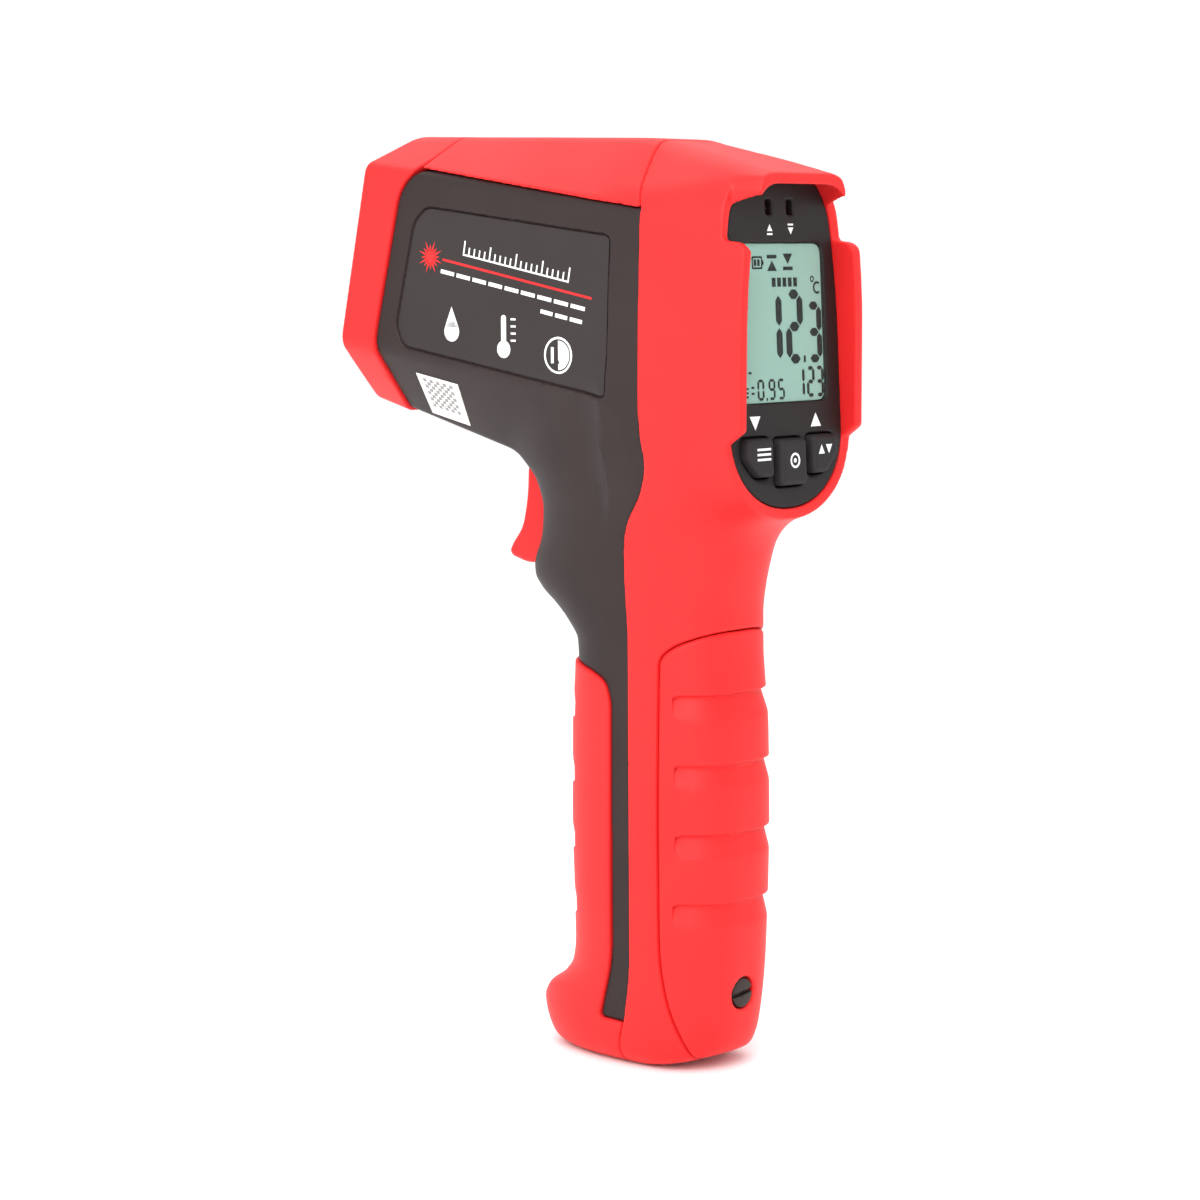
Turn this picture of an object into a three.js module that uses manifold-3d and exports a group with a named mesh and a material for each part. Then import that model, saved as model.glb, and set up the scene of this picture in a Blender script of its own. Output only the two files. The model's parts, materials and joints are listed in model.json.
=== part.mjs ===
// Pistol-grip infrared thermometer: a red and charcoal housing with the lens at the nose, a display and
// keys facing the user, a sprung trigger under the barrel and a 9 V battery behind a cover in the handle.
// Millimetres. +Z is up along the handle, -Y is the way the lens looks, +X is the user's left.
// The origin is the middle of the flat foot under the handle.
import * as THREE from "three";
import { mergeVertices } from "three/addons/utils/BufferGeometryUtils.js";
import Module from "manifold-3d";

const wasm = await Module();
wasm.setup();

// ---------------------------------------------------------------- driving dimensions
const WALL = 2.6; // thickness of the red mouldings
const DARK_INSET = 0.8; // the charcoal halves sit this far below the red skin
const DARK_WALL = 2.4;
const SEAM = 0.3; // gap between neighbouring mouldings
const REACH = 60; // half-length of cutting prisms, past the body on both sides
const FAR = 90; // further forward and back than any part of the body

// Nose and barrel. The barrel looks up by AIM_TILT against the upright handle.
const AIM_TILT = THREE.MathUtils.degToRad(12.1);
const LEAN = Math.tan(AIM_TILT); // how far the nose plane leans back per millimetre of height
const NOSE = { y: -72.7, z: 182 }; // middle of the nose plane
const BOTTOM_HALF = 12.8; // half-width of the flat under the barrel
const CREASE_TOP = { z: 203.8, slope: -0.1314, y: -52 }; // upper edge of the flat sides
const CREASE_LOW = { z: 163.0, slope: -0.112, y: -66 }; // lower edge of the flat sides
const UNDERSIDE = { z: 150.4, slope: -0.263, y: -79.4 }; // the barrel's underside
const line = (l, y) => l.z + l.slope * (y - l.y);

// Display housing at the user's end.
const PANEL_LEAN = -0.0544; // the display face leans forward going up
const PANEL = { y: 33.9, z: 187.6 }; // a point on the fascia's face
const panelY = (z) => PANEL.y + PANEL_LEAN * (z - PANEL.z);
const RIM = 40.5; // how far back the hood and the side guards reach
const FASCIA_THICK = 2.0;

// Trigger.
const TRIGGER_HALF = 5.6;
const PIVOT = { y: -27.5, z: 140.5 };

// ---------------------------------------------------------------- solids
const closed = (geometry) => {
  const bare = geometry.clone();
  bare.deleteAttribute("normal");
  bare.deleteAttribute("uv");
  const merged = mergeVertices(bare, 1e-4);
  const faces = merged.index.array;
  const make = (triVerts) =>
    new wasm.Manifold(
      new wasm.Mesh({ numProp: 3, vertProperties: merged.attributes.position.array, triVerts }),
    );
  const solid = make(new Uint32Array(faces));
  return solid.volume() < 0 ? make(new Uint32Array(faces).reverse()) : solid;
};

const geometryOf = (solid) => {
  const mesh = solid.getMesh();
  const positions = new Float32Array(mesh.numVert * 3);
  for (let i = 0; i < mesh.numVert; i++)
    positions.set(mesh.vertProperties.subarray(i * mesh.numProp, i * mesh.numProp + 3), i * 3);
  const geometry = new THREE.BufferGeometry();
  geometry.setAttribute("position", new THREE.BufferAttribute(positions, 3));
  geometry.setIndex(new THREE.BufferAttribute(new Uint32Array(mesh.triVerts), 1));
  geometry.computeVertexNormals();
  return geometry;
};

const union = (...solids) => solids.reduce((a, b) => a.add(b));

// A closed skin through rings of Vector3 that all have the same number of points.
function loft(rings) {
  const n = rings[0].length;
  const positions = rings.flat().flatMap((p) => [p.x, p.y, p.z]);
  const index = [];
  for (let i = 0; i + 1 < rings.length; i++)
    for (let j = 0; j < n; j++) {
      const a = i * n + j;
      const b = i * n + ((j + 1) % n);
      index.push(a, b, b + n, a, b + n, a + n);
    }
  const last = (rings.length - 1) * n;
  for (let j = 1; j + 1 < n; j++) {
    index.push(0, j + 1, j);
    index.push(last, last + j, last + j + 1);
  }
  const geometry = new THREE.BufferGeometry();
  geometry.setAttribute("position", new THREE.Float32BufferAttribute(positions, 3));
  geometry.setIndex(index);
  return closed(geometry);
}

// A shape drawn in (y, z) and stretched along X from x0 to x1.
function prismX(outline, x0, x1) {
  const shape = new THREE.Shape(outline.map(([y, z]) => new THREE.Vector2(y, z)));
  const geometry = new THREE.ExtrudeGeometry(shape, { depth: x1 - x0, bevelEnabled: false });
  geometry.applyMatrix4(new THREE.Matrix4().set(0, 0, 1, x0, 1, 0, 0, 0, 0, 1, 0, 0, 0, 0, 0, 1));
  return closed(geometry);
}

// A shape drawn in (x, z) and stretched across the fascia plane, from `from` to `to` millimetres out of
// its face; negative is inside the housing.
function prismPanel(outline, from, to) {
  const shape = new THREE.Shape(outline.map(([x, z]) => new THREE.Vector2(x, z)));
  const geometry = new THREE.ExtrudeGeometry(shape, { depth: to - from, bevelEnabled: false });
  geometry.applyMatrix4(
    new THREE.Matrix4().set(1, 0, 0, 0, 0, PANEL_LEAN, 1, panelY(0) + from, 0, 1, 0, 0, 0, 0, 0, 1),
  );
  return closed(geometry);
}

const box = (x0, x1, y0, y1, z0, z1) => {
  const geometry = new THREE.BoxGeometry(x1 - x0, y1 - y0, z1 - z0);
  geometry.translate((x0 + x1) / 2, (y0 + y1) / 2, (z0 + z1) / 2);
  return closed(geometry);
};

// A profile of [radius, distance] turned about an axis that starts at `at` and runs along `direction`.
function turned(profile, at, direction, sides = 20) {
  const geometry = new THREE.LatheGeometry(
    profile.map(([r, h]) => new THREE.Vector2(r, h)),
    sides,
  );
  const turn = new THREE.Quaternion().setFromUnitVectors(
    new THREE.Vector3(0, 1, 0),
    direction.clone().normalize(),
  );
  geometry.applyQuaternion(turn);
  geometry.translate(at.x, at.y, at.z);
  return closed(geometry);
}

const rod = (r, length, at, direction, sides = 16) =>
  turned([[0, 0], [r, 0], [r, length], [0, length]], at, direction, sides);

const tube = (inner, outer, length, at, direction, sides = 20) =>
  turned([[inner, 0], [outer, 0], [outer, length], [inner, length], [inner, 0]], at, direction, sides);

// A wire of a few straight sides along a smooth curve through points.
function wire(points, r, steps, sides = 8) {
  const curve = new THREE.CatmullRomCurve3(points);
  const section = new THREE.Shape();
  for (let i = 0; i < sides; i++) {
    const a = (i / sides) * 2 * Math.PI;
    if (i === 0) section.moveTo(r * Math.cos(a), r * Math.sin(a));
    else section.lineTo(r * Math.cos(a), r * Math.sin(a));
  }
  return closed(new THREE.ExtrudeGeometry(section, { steps, extrudePath: curve, bevelEnabled: false }));
}

const v3 = (x, y, z) => new THREE.Vector3(x, y, z);
const X_AXIS = v3(1, 0, 0);
const Y_AXIS = v3(0, 1, 0);
const Z_AXIS = v3(0, 0, 1);
const AIM = v3(0, -Math.cos(AIM_TILT), Math.sin(AIM_TILT)); // the way the lens looks
const AIM_UP = v3(0, Math.sin(AIM_TILT), Math.cos(AIM_TILT));
// A point `depth` behind the nose plane along the aim axis, `up` above the axis and `side` to the left.
const inNose = (depth, up = 0, side = 0) =>
  v3(side, NOSE.y, NOSE.z).addScaledVector(AIM, -depth).addScaledVector(AIM_UP, up);

// ---------------------------------------------------------------- outlines
// A convex outline moved inwards by d.
function inset(points, d) {
  const n = points.length;
  const area = points.reduce((s, [x, y], i) => {
    const [u, v] = points[(i + 1) % n];
    return s + x * v - u * y;
  }, 0);
  const turn = Math.sign(area);
  const edges = points.map(([x, y], i) => {
    const [u, v] = points[(i + 1) % n];
    const length = Math.hypot(u - x, v - y);
    const nx = (-(v - y) / length) * turn;
    const ny = ((u - x) / length) * turn;
    return { x: x + nx * d, y: y + ny * d, dx: u - x, dy: v - y };
  });
  return edges.map((e, i) => {
    const p = edges[(i + n - 1) % n];
    const cross = p.dx * e.dy - p.dy * e.dx;
    if (Math.abs(cross) < 1e-9) return [e.x, e.y];
    const t = ((e.x - p.x) * e.dy - (e.y - p.y) * e.dx) / cross;
    return [p.x + p.dx * t, p.y + p.dy * t];
  });
}

// Each corner of an outline cut back by r, which doubles its points.
const chamfer = (points, r) =>
  points.flatMap(([x, y], i) => {
    const n = points.length;
    return [points[(i + n - 1) % n], points[(i + 1) % n]].map(([u, v]) => {
      const t = Math.min(0.45, r / Math.hypot(u - x, v - y));
      return [x + (u - x) * t, y + (v - y) * t];
    });
  });

// Points for the +X half, listed from top to bottom, completed with their mirror image.
const mirrored = (half) => [
  ...half,
  ...half
    .filter(([x]) => x > 1e-6)
    .reverse()
    .map(([x, z]) => [-x, z]),
];

// A thin upright sheet along a line drawn in (y, z), used to open the gap of a seam.
function seamSheet(points, width = SEAM) {
  const sides = [1, -1].map((s) =>
    points.map(([y, z], i) => {
      const a = points[Math.max(0, i - 1)];
      const b = points[Math.min(points.length - 1, i + 1)];
      const length = Math.hypot(b[0] - a[0], b[1] - a[1]);
      return [
        y - ((s * (b[1] - a[1])) / length) * (width / 2),
        z + ((s * (b[0] - a[0])) / length) * (width / 2),
      ];
    }),
  );
  return prismX([...sides[0], ...sides[1].reverse()], -REACH, REACH);
}

// ---------------------------------------------------------------- the outer form
// Barrel cross-sections from the nose to inside the display housing: y at mid-height, half-widths, top.
const BARREL = [
  { y: -72.7, side: 28.0, top: 12.0, zTop: 212.6 },
  { y: -60.0, side: 27.7, top: 11.8, zTop: 212.4 },
  { y: -25.0, side: 26.9, top: 11.2, zTop: 211.5 },
  { y: 7.0, side: 26.2, top: 10.7, zTop: 210.8 },
  { y: 14.0, side: 24.4, top: 10.5, zTop: 208.6 },
];

function barrelRing(s, d, forward = 0) {
  const corners = mirrored([
    [s.top, s.zTop],
    [s.side, line(CREASE_TOP, s.y + 4)],
    [s.side, line(CREASE_LOW, s.y - 4)],
    [BOTTOM_HALF, line(UNDERSIDE, s.y - 6)],
  ]);
  return chamfer(inset(corners, d), 1.6).map(([x, z]) => v3(x, s.y - forward + LEAN * (z - NOSE.z), z));
}

const barrel = (d) => loft(BARREL.map((s, i) => barrelRing(s, d, i === 0 && d > 0 ? 2 : 0)));

// Display housing cross-sections: seen from behind, a shoulder narrows towards the hood above and the
// sides run into a round end under the keys.
const DISPLAY = [
  { y: 3.0, side: 26.2, top: 10.7, zTop: 211.0, sh: 25.6, zSh: 196.2, zSide: 193, zLow: 150, zEnd: 120 },
  { y: 14.4, side: 25.9, top: 10.8, zTop: 209.2, sh: 25.2, zSh: 196.4, zSide: 191, zLow: 149, zEnd: 121.4 },
  { y: 24.0, side: 24.3, top: 12.0, zTop: 207.1, sh: 22.6, zSh: 197.4, zSide: 188, zLow: 148, zEnd: 123.6 },
  { y: 33.0, side: 22.5, top: 13.0, zTop: 204.8, sh: 19.8, zSh: 198.2, zSide: 186, zLow: 147.4, zEnd: 126.6 },
  { y: 41.6, side: 21.6, top: 13.0, zTop: 202.7, sh: 18.2, zSh: 198.6, zSide: 185, zLow: 147, zEnd: 129.1 },
];
const END_STEPS = 5; // corners on each side of the round end

function displayRing(s, d, back = 0) {
  const end = Array.from({ length: END_STEPS + 1 }, (_, i) => {
    const a = (i / END_STEPS) * (Math.PI / 2);
    return [
      s.side * Math.max(0, Math.cos(a)) ** 0.85,
      s.zLow - (s.zLow - s.zEnd) * Math.sin(a) ** 1.1,
    ];
  });
  const half = [[s.top, s.zTop], [s.sh, s.zSh], [s.side, s.zSide], ...end];
  const outline = inset(mirrored(half), d);
  return outline.map(([x, z]) => v3(x, s.y + back + PANEL_LEAN * (z - PANEL.z), z));
}

// Seen from the side as (y, z): the guards stop above the keys and below the hood, where the rim is cut
// back almost to the fascia. The hood ends are cut at HOOD_HALF.
const HOOD_HALF = 15;
const HOOD_NOTCH = [[33.3, 215], [34.4, 188.1], [38.8, 187.7], [45, 182], [60, 182], [60, 215]];
const KEY_NOTCH = [[36.7, 144.2], [60, 160.9], [60, 100], [39.1, 100]];
const displayNotches = () => {
  const side = prismX(HOOD_NOTCH, HOOD_HALF, REACH);
  return union(side, side.mirror([1, 0, 0]), prismX(KEY_NOTCH, -REACH, REACH));
};

// The outer skin ends in an upright plane; an inner one runs on through it.
const display = (d) => {
  const solid = loft(DISPLAY.map((s, i) => displayRing(s, d, i === DISPLAY.length - 1 && d > 0 ? 3 : 0)));
  return d > 0 ? solid : solid.intersect(box(-REACH, REACH, -FAR, RIM, 0, 230));
};

// Handle and neck cross-sections, bottom to top: front, widest place, rear, half-width, squareness.
const GRIP = [
  { z: 0.0, front: -22.5, mid: 0, rear: 12.5, half: 12.6, n: 2.4 },
  { z: 1.6, front: -26.6, mid: 0, rear: 17.4, half: 15.0, n: 2.4 },
  { z: 5.0, front: -29.4, mid: 0, rear: 22.0, half: 16.4, n: 2.4 },
  { z: 10.5, front: -30.9, mid: 1, rear: 23.8, half: 17.0, n: 2.5 },
  { z: 14.0, front: -29.4, mid: 1, rear: 24.3, half: 17.2, n: 2.5 },
  { z: 18.5, front: -23.2, mid: 2, rear: 24.8, half: 17.4, n: 2.6 },
  { z: 26.0, front: -19.8, mid: 2, rear: 25.3, half: 17.5, n: 2.6 },
  { z: 55.0, front: -20.6, mid: 3, rear: 25.9, half: 17.7, n: 2.6 },
  { z: 78.0, front: -20.6, mid: 3, rear: 25.5, half: 17.7, n: 2.6 },
  { z: 97.0, front: -20.2, mid: 3, rear: 23.9, half: 17.8, n: 2.5 },
  { z: 102.0, front: -24.7, mid: 2, rear: 23.9, half: 18.1, n: 2.5 },
  { z: 107.5, front: -32.0, mid: 1, rear: 24.5, half: 18.4, n: 2.4 },
  { z: 112.0, front: -35.2, mid: 1, rear: 25.3, half: 18.8, n: 2.4 },
  { z: 119.0, front: -32.8, mid: 0, rear: 27.3, half: 19.4, n: 2.4 },
  { z: 127.0, front: -31.4, mid: 0, rear: 30.3, half: 20.1, n: 2.3 },
  { z: 134.0, front: -33.8, mid: 0, rear: 31.6, half: 20.9, n: 2.3 },
  { z: 142.0, front: -36.0, mid: 0, rear: 32.0, half: 21.8, n: 2.3 },
  { z: 150.0, front: -30.0, mid: 0, rear: 28.0, half: 21.2, n: 2.3 },
];
const GRIP_SIDES = 24;

// The handle section at any height, between the listed ones.
function gripAt(z) {
  const i = Math.max(1, GRIP.findIndex((s) => s.z >= z));
  const [a, b] = [GRIP[i - 1], GRIP[i]];
  const t = (z - a.z) / (b.z - a.z);
  return Object.fromEntries(Object.keys(a).map((k) => [k, a[k] + (b[k] - a[k]) * t]));
}

function gripRing(s, d) {
  return Array.from({ length: GRIP_SIDES }, (_, i) => {
    const a = (i / GRIP_SIDES) * 2 * Math.PI;
    const [c, t] = [Math.cos(a), Math.sin(a)];
    const depth = (t > 0 ? s.rear - s.mid : s.mid - s.front) - d;
    const x = (s.half - d) * Math.sign(c) * Math.abs(c) ** (2 / s.n);
    const y = s.mid + depth * Math.sign(t) * Math.abs(t) ** (2 / s.n);
    return v3(x, y, Math.max(s.z, d));
  });
}

const grip = (d) => loft(GRIP.filter((s) => s.z === 0 || s.z > d + 0.5).map((s) => gripRing(s, d)));

const formCache = new Map();
// The whole outer form, moved inwards by d. An inner form also opens the nose and the display end.
function form(d) {
  if (!formCache.has(d)) formCache.set(d, union(barrel(d), display(d), grip(d)));
  return formCache.get(d);
}

// ---------------------------------------------------------------- seams, seen from the side as (y, z)
const NOSE_SEAM = [
  [-51.4, 230],
  [-51.6, 204.6],
  [-57.2, 199.4],
  [-65.2, 167],
  [-66.0, 161],
  [-70.5, 136],
];
const DARK_TOP = [NOSE_SEAM[1], [14.0, 195.1]];
const REAR_SEAM = [
  [7.4, 230],
  [8.4, 209.8],
  [10, 203.5],
  DARK_TOP[1],
  [14.5, 175],
  [14.5, 150],
  [15.8, 139.5],
  [12.6, 132.8],
  [4.9, 124.2],
  [4.4, 113],
  [4.7, 92],
  [4.9, 60],
  [4.8, 20.4],
  [2.9, 10.7],
];
const FOOT_SEAM = [REAR_SEAM.at(-1), [0.9, 5], [0.8, -12]];
const GRIP_SEAM = [
  [-40, 94.8],
  [-14, 92.2],
  [-7, 90.8],
  [-2.6, 89],
  [-0.8, 84.6],
  [-0.8, 24],
  [-4.4, 11],
  REAR_SEAM.at(-1),
];
const COVER_SEAM = [
  [60, 101.5],
  [24, 101.5],
  [20.8, 100.4],
  [16.0, 98.2],
  [12.8, 95.4],
  [12.7, 60],
  [12.9, 26],
  [14.6, 15.6],
  [17.4, 6.5],
  [19.4, -12],
];

const noseRegion = prismX([[-FAR, 230], ...NOSE_SEAM, [-FAR, 136]], -REACH, REACH);
const topRegion = prismX([NOSE_SEAM[0], ...REAR_SEAM.slice(0, 4), ...DARK_TOP.slice(0, 1)], -REACH, REACH);
const rearRegion = prismX(
  [[FAR, 230], ...REAR_SEAM, ...FOOT_SEAM.slice(1), ...[...COVER_SEAM].reverse(), [FAR, 101.5]],
  -REACH,
  REACH,
);
const coverRegion = prismX([...COVER_SEAM, [60, -12]], -REACH, REACH);
const gripRegion = prismX([...GRIP_SEAM, ...FOOT_SEAM.slice(1), [-60, -12], [-60, 94.8]], -REACH, REACH);
const darkRegion = prismX(
  [
    ...DARK_TOP,
    ...REAR_SEAM.slice(4),
    ...[...GRIP_SEAM].reverse().slice(1),
    [-70.5, 94.8],
    ...[...NOSE_SEAM].reverse().slice(0, -1),
  ],
  -REACH,
  REACH,
);
const seams = union(
  seamSheet(NOSE_SEAM),
  seamSheet(DARK_TOP),
  seamSheet(REAR_SEAM),
  seamSheet(FOOT_SEAM),
  seamSheet(GRIP_SEAM),
  seamSheet(COVER_SEAM),
);

const redWall = form(0).subtract(form(WALL)).subtract(seams).subtract(displayNotches());
const darkWall = form(DARK_INSET).subtract(form(DARK_INSET + DARK_WALL)).subtract(seams);
// The largest body of a solid, because booleans can leave loose slivers, with needless small faces merged.
const main = (solid) =>
  solid
    .decompose()
    .reduce((a, b) => (b.volume() > a.volume() ? b : a))
    .simplify(0.02);
// The part of the form between two depths, as a curved sheet.
const sheet = (outer, inner) => form(outer).subtract(form(inner));
const leftSide = box(0.15, REACH, -FAR, FAR, -10, 230);
const rightSide = box(-REACH, -0.15, -FAR, FAR, -10, 230);

// ---------------------------------------------------------------- materials and naming
const MATERIALS = {
  red: { color: 0xf0282c, roughness: 0.45 },
  charcoal: { color: 0x3a3635, roughness: 0.6 },
  black: { color: 0x1d1c1c, roughness: 0.45 },
  rubber: { color: 0x262425, roughness: 0.85 },
  seal: { color: 0x55585c, roughness: 0.95 },
  clear: { color: 0xdfe8e6, roughness: 0.05, opacity: 0.35, transparent: true },
  lcd: { color: 0xa2c6ba, roughness: 0.25 },
  light: { color: 0xf4f4ee, roughness: 0.4 },
  board: { color: 0x1c5a35, roughness: 0.5 },
  chip: { color: 0x191919, roughness: 0.4 },
  steel: { color: 0xc4c7ca, roughness: 0.3, metalness: 0.9 },
  blackSteel: { color: 0x2a2624, roughness: 0.4, metalness: 0.7 },
  brass: { color: 0xc9a24a, roughness: 0.35, metalness: 0.9 },
  lens: { color: 0x3b4048, roughness: 0.08, metalness: 0.5 },
  lamp: { color: 0x3c0f10, roughness: 0.15 },
  wrap: { color: 0x2b3f74, roughness: 0.35 },
  redWire: { color: 0xc02020, roughness: 0.5 },
  blackWire: { color: 0x151515, roughness: 0.5 },
  label: { color: 0x2c2928, roughness: 0.35 },
  paper: { color: 0xf2f2f0, roughness: 0.6 },
};

const group = new THREE.Group();
group.name = "infrared_thermometer";
function add(name, solid, material) {
  const mesh = new THREE.Mesh(geometryOf(solid), new THREE.MeshStandardMaterial(MATERIALS[material]));
  mesh.name = name;
  group.add(mesh);
}

// ---------------------------------------------------------------- red mouldings
add("front_bezel", main(redWall.intersect(noseRegion)), "red");
add("top_cover", main(redWall.intersect(topRegion)), "red");
add("rear_shell", main(redWall.intersect(rearRegion)), "red");
add("front_grip", main(redWall.intersect(gripRegion)), "red");

// Battery cover: four shingle grooves for the palm and a counterbored hole for its screw.
const GROOVE = { pitch: 15.75, top: 87, height: 5.4, depth: 1.4, half: 15.4, count: 4 };
const grooves = Array.from({ length: GROOVE.count }, (_, i) => {
  const z1 = GROOVE.top - i * GROOVE.pitch;
  const z0 = z1 - GROOVE.height;
  const ramp = loft([
    gripRing(gripAt(z0), 0).map((p) => p.setZ(z0)),
    gripRing(gripAt(z1), GROOVE.depth).map((p) => p.setZ(z1)),
  ]);
  return box(-GROOVE.half, GROOVE.half, 5, 40, z0, z1).subtract(ramp);
});
const SCREW = { z: 18.1, seat: 22.1, head: 3.4, headThick: 1.7, shank: 1.5 };
const screwAt = (y) => v3(0, y, SCREW.z);
const cover = redWall
  .intersect(coverRegion)
  .add(rod(SCREW.head + 2.2, 3.4, screwAt(20.4), Y_AXIS).intersect(form(1)))
  .subtract(union(...grooves))
  .subtract(rod(SCREW.head + 0.35, 20, screwAt(SCREW.seat), Y_AXIS))
  .subtract(rod(SCREW.shank + 0.35, 20, screwAt(10), Y_AXIS));
add("battery_cover", main(cover), "red");

const screwHead = rod(SCREW.head, SCREW.headThick, screwAt(SCREW.seat + 0.15), Y_AXIS)
  .add(rod(SCREW.shank, 14.8, screwAt(SCREW.seat - 14.4), Y_AXIS, 12))
  .subtract(box(-5, 5, SCREW.seat + 1.1, 40, SCREW.z - 0.5, SCREW.z + 0.5));
add("battery_cover_screw", screwHead, "blackSteel");

const sealBand = prismX(
  [
    [24, 103.4],
    [18.4, 102],
    [13.4, 99.4],
    [10.6, 95.4],
    [10.1, 91],
    [10.1, 27],
    [11.5, 18.6],
    [13.3, 14],
    [15.2, 14.6],
    [13.3, 19.2],
    [12, 27],
    [12, 91],
    [12.4, 94.6],
    [14.8, 97.9],
    [19, 100.2],
    [24, 101.7],
  ],
  -REACH,
  REACH,
);
add("battery_cover_seal", main(sheet(WALL + 0.2, WALL + 0.9).intersect(sealBand)), "seal");

// ---------------------------------------------------------------- charcoal housing halves
const LABEL_OUTLINE = [
  [-53.2, 192.4],
  [-49.0, 196.0],
  [6.0, 189.4],
  [5.0, 153.2],
  [-56.9, 163.4],
  [-59.2, 168.6],
];
const labelPrism = prismX(LABEL_OUTLINE, -REACH, REACH);
const labelSheetPrism = prismX(inset(LABEL_OUTLINE, 0.4), -REACH, REACH);
const triggerSlot = prismX(
  [
    [-50, 110.6],
    [-18, 110.6],
    [-18, 145],
    [-36.6, 145],
    [-37.6, 138.8],
    [-50, 138.8],
  ],
  -TRIGGER_HALF - 0.5,
  TRIGGER_HALF + 0.5,
);
const HOUSING_SCREWS = [
  [-38, 198.2],
  [9.7, 189.5],
  [-40, 154.5],
  [9.7, 158],
  [-8, 108],
];
const HEAD_SEAT = -10.5; // the screw heads sit against this plane, deep in their wells
const wells = HOUSING_SCREWS.map(([y, z]) => ({
  nutBoss: rod(3.2, 40, v3(-1.5, y, z), X_AXIS, 10).intersect(form(1.8)),
  thread: rod(1.6, 13, v3(-3, y, z), X_AXIS, 8),
  wellBoss: rod(4.2, 40, v3(-48.5, y, z), X_AXIS, 12).intersect(form(1.8)),
  well: rod(3.0, 50, v3(HEAD_SEAT - 50, y, z), X_AXIS, 12),
  shank: rod(1.7, 60, v3(-50, y, z), X_AXIS, 8),
}));
const pinBoss = rod(3.4, 14, v3(TRIGGER_HALF + 0.9, PIVOT.y, PIVOT.z), X_AXIS, 12).intersect(form(1.8));
const pinBore = rod(1.6, 22, v3(-11, PIVOT.y, PIVOT.z), X_AXIS, 10);
const springSeat = box(-3.6, REACH, -11.4, -9.6, 114.5, 124.2).intersect(form(1.2));

const skin = darkWall.intersect(darkRegion).subtract(labelPrism.subtract(form(1.65))).subtract(triggerSlot);
const leftHalf = skin
  .intersect(leftSide)
  .add(pinBoss)
  .add(springSeat)
  .add(union(...wells.map((w) => w.nutBoss)))
  .subtract(pinBore)
  .subtract(union(...wells.map((w) => w.thread)));
const rightHalf = skin
  .intersect(rightSide)
  .add(pinBoss.mirror([1, 0, 0]))
  .add(union(...wells.map((w) => w.wellBoss)))
  .subtract(pinBore)
  .subtract(union(...wells.map((w) => w.well.add(w.shank))));
add("left_housing", main(leftHalf), "charcoal");
add("right_housing", main(rightHalf), "charcoal");

HOUSING_SCREWS.forEach(([y, z], i) => {
  const screw = rod(2.7, 2, v3(HEAD_SEAT - 2.15, y, z), X_AXIS, 12)
    .add(rod(1.25, 19, v3(HEAD_SEAT - 0.3, y, z), X_AXIS, 8))
    .subtract(box(HEAD_SEAT - 4, HEAD_SEAT - 1.1, y - 2, y + 2, z - 0.35, z + 0.35))
    .subtract(box(HEAD_SEAT - 4, HEAD_SEAT - 1.1, y - 0.35, y + 0.35, z - 2, z + 2));
  add(`housing_screw_${i + 1}`, screw, "steel");
});

const labelSheet = sheet(1.25, 1.55).intersect(labelSheetPrism);
add("left_label", main(labelSheet.intersect(leftSide)), "label");
add("right_label", main(labelSheet.intersect(rightSide)), "label");
const stickerPrism = prismX([[-56.3, 157.4], [-43.3, 155.0], [-46.9, 144.9], [-59.6, 147.5]], 10, REACH);
add("sticker", main(sheet(0.4, 0.7).intersect(stickerPrism)), "paper");

// ---------------------------------------------------------------- nose: lens, lasers and sensor
const PLATE = { front: 5, thick: 2.6 };
const LENS = { clear: 8.6, glass: 9.2, bore: 9.5, tube: 12, ring: 13.8 };
const LASER_UP = 21;
// A slab between two depths behind the nose plane.
const noseSlab = (from, to) => {
  const corner = (depth, up) => {
    const p = inNose(depth, up);
    return [p.y, p.z];
  };
  return prismX([corner(from, 45), corner(from, -45), corner(to, -45), corner(to, 45)], -REACH, REACH);
};
const BACK = AIM.clone().negate();
const plateHoles = union(
  rod(LENS.tube + 0.3, 30, inNose(-10), BACK, 28),
  rod(3.0, 30, inNose(-10, LASER_UP), BACK, 16),
  rod(3.0, 30, inNose(-10, -LASER_UP), BACK, 16),
);
add(
  "front_plate",
  main(form(WALL + 0.3).intersect(noseSlab(PLATE.front, PLATE.front + PLATE.thick)).subtract(plateHoles)),
  "black",
);
add("nose_seal", main(sheet(WALL + 0.3, WALL + 2.2).intersect(noseSlab(7.9, 9.1))), "seal");
add(
  "lens_ring",
  turned(
    [
      [LENS.clear, 0.6],
      [LENS.clear + 1.2, 0],
      [LENS.ring - 0.8, 0],
      [LENS.ring, 0.8],
      [LENS.ring, 2.3],
      [LENS.clear, 2.3],
      [LENS.clear, 0.6],
    ],
    inNose(2.4),
    BACK,
    28,
  ),
  "black",
);
add(
  "lens",
  turned([[0, 0.2], [5, 0.4], [LENS.glass, 1], [LENS.glass, 2.6], [0, 2.6]], inNose(5), BACK, 28),
  "lens",
);
add(
  "lens_tube",
  turned(
    [
      [LENS.bore, 0],
      [LENS.tube, 0],
      [LENS.tube, 16.4],
      [5.0, 16.4],
      [5.0, 14.4],
      [LENS.bore - 1.6, 12],
      [LENS.bore - 1.6, 3],
      [LENS.bore, 3],
      [LENS.bore, 0],
    ],
    inNose(5),
    BACK,
    28,
  ),
  "chip",
);
add("thermopile", turned([[0, 0], [4.1, 0], [4.55, 0.5], [4.55, 4.4], [0, 4.4]], inNose(17.6), BACK), "steel");
const sensorBoard = (() => {
  const geometry = new THREE.BoxGeometry(36, 1.6, 32);
  geometry.rotateX(-AIM_TILT);
  const at = inNose(22.8);
  geometry.translate(at.x, at.y, at.z);
  return closed(geometry);
})();
add("sensor_board", sensorBoard, "board");
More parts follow.
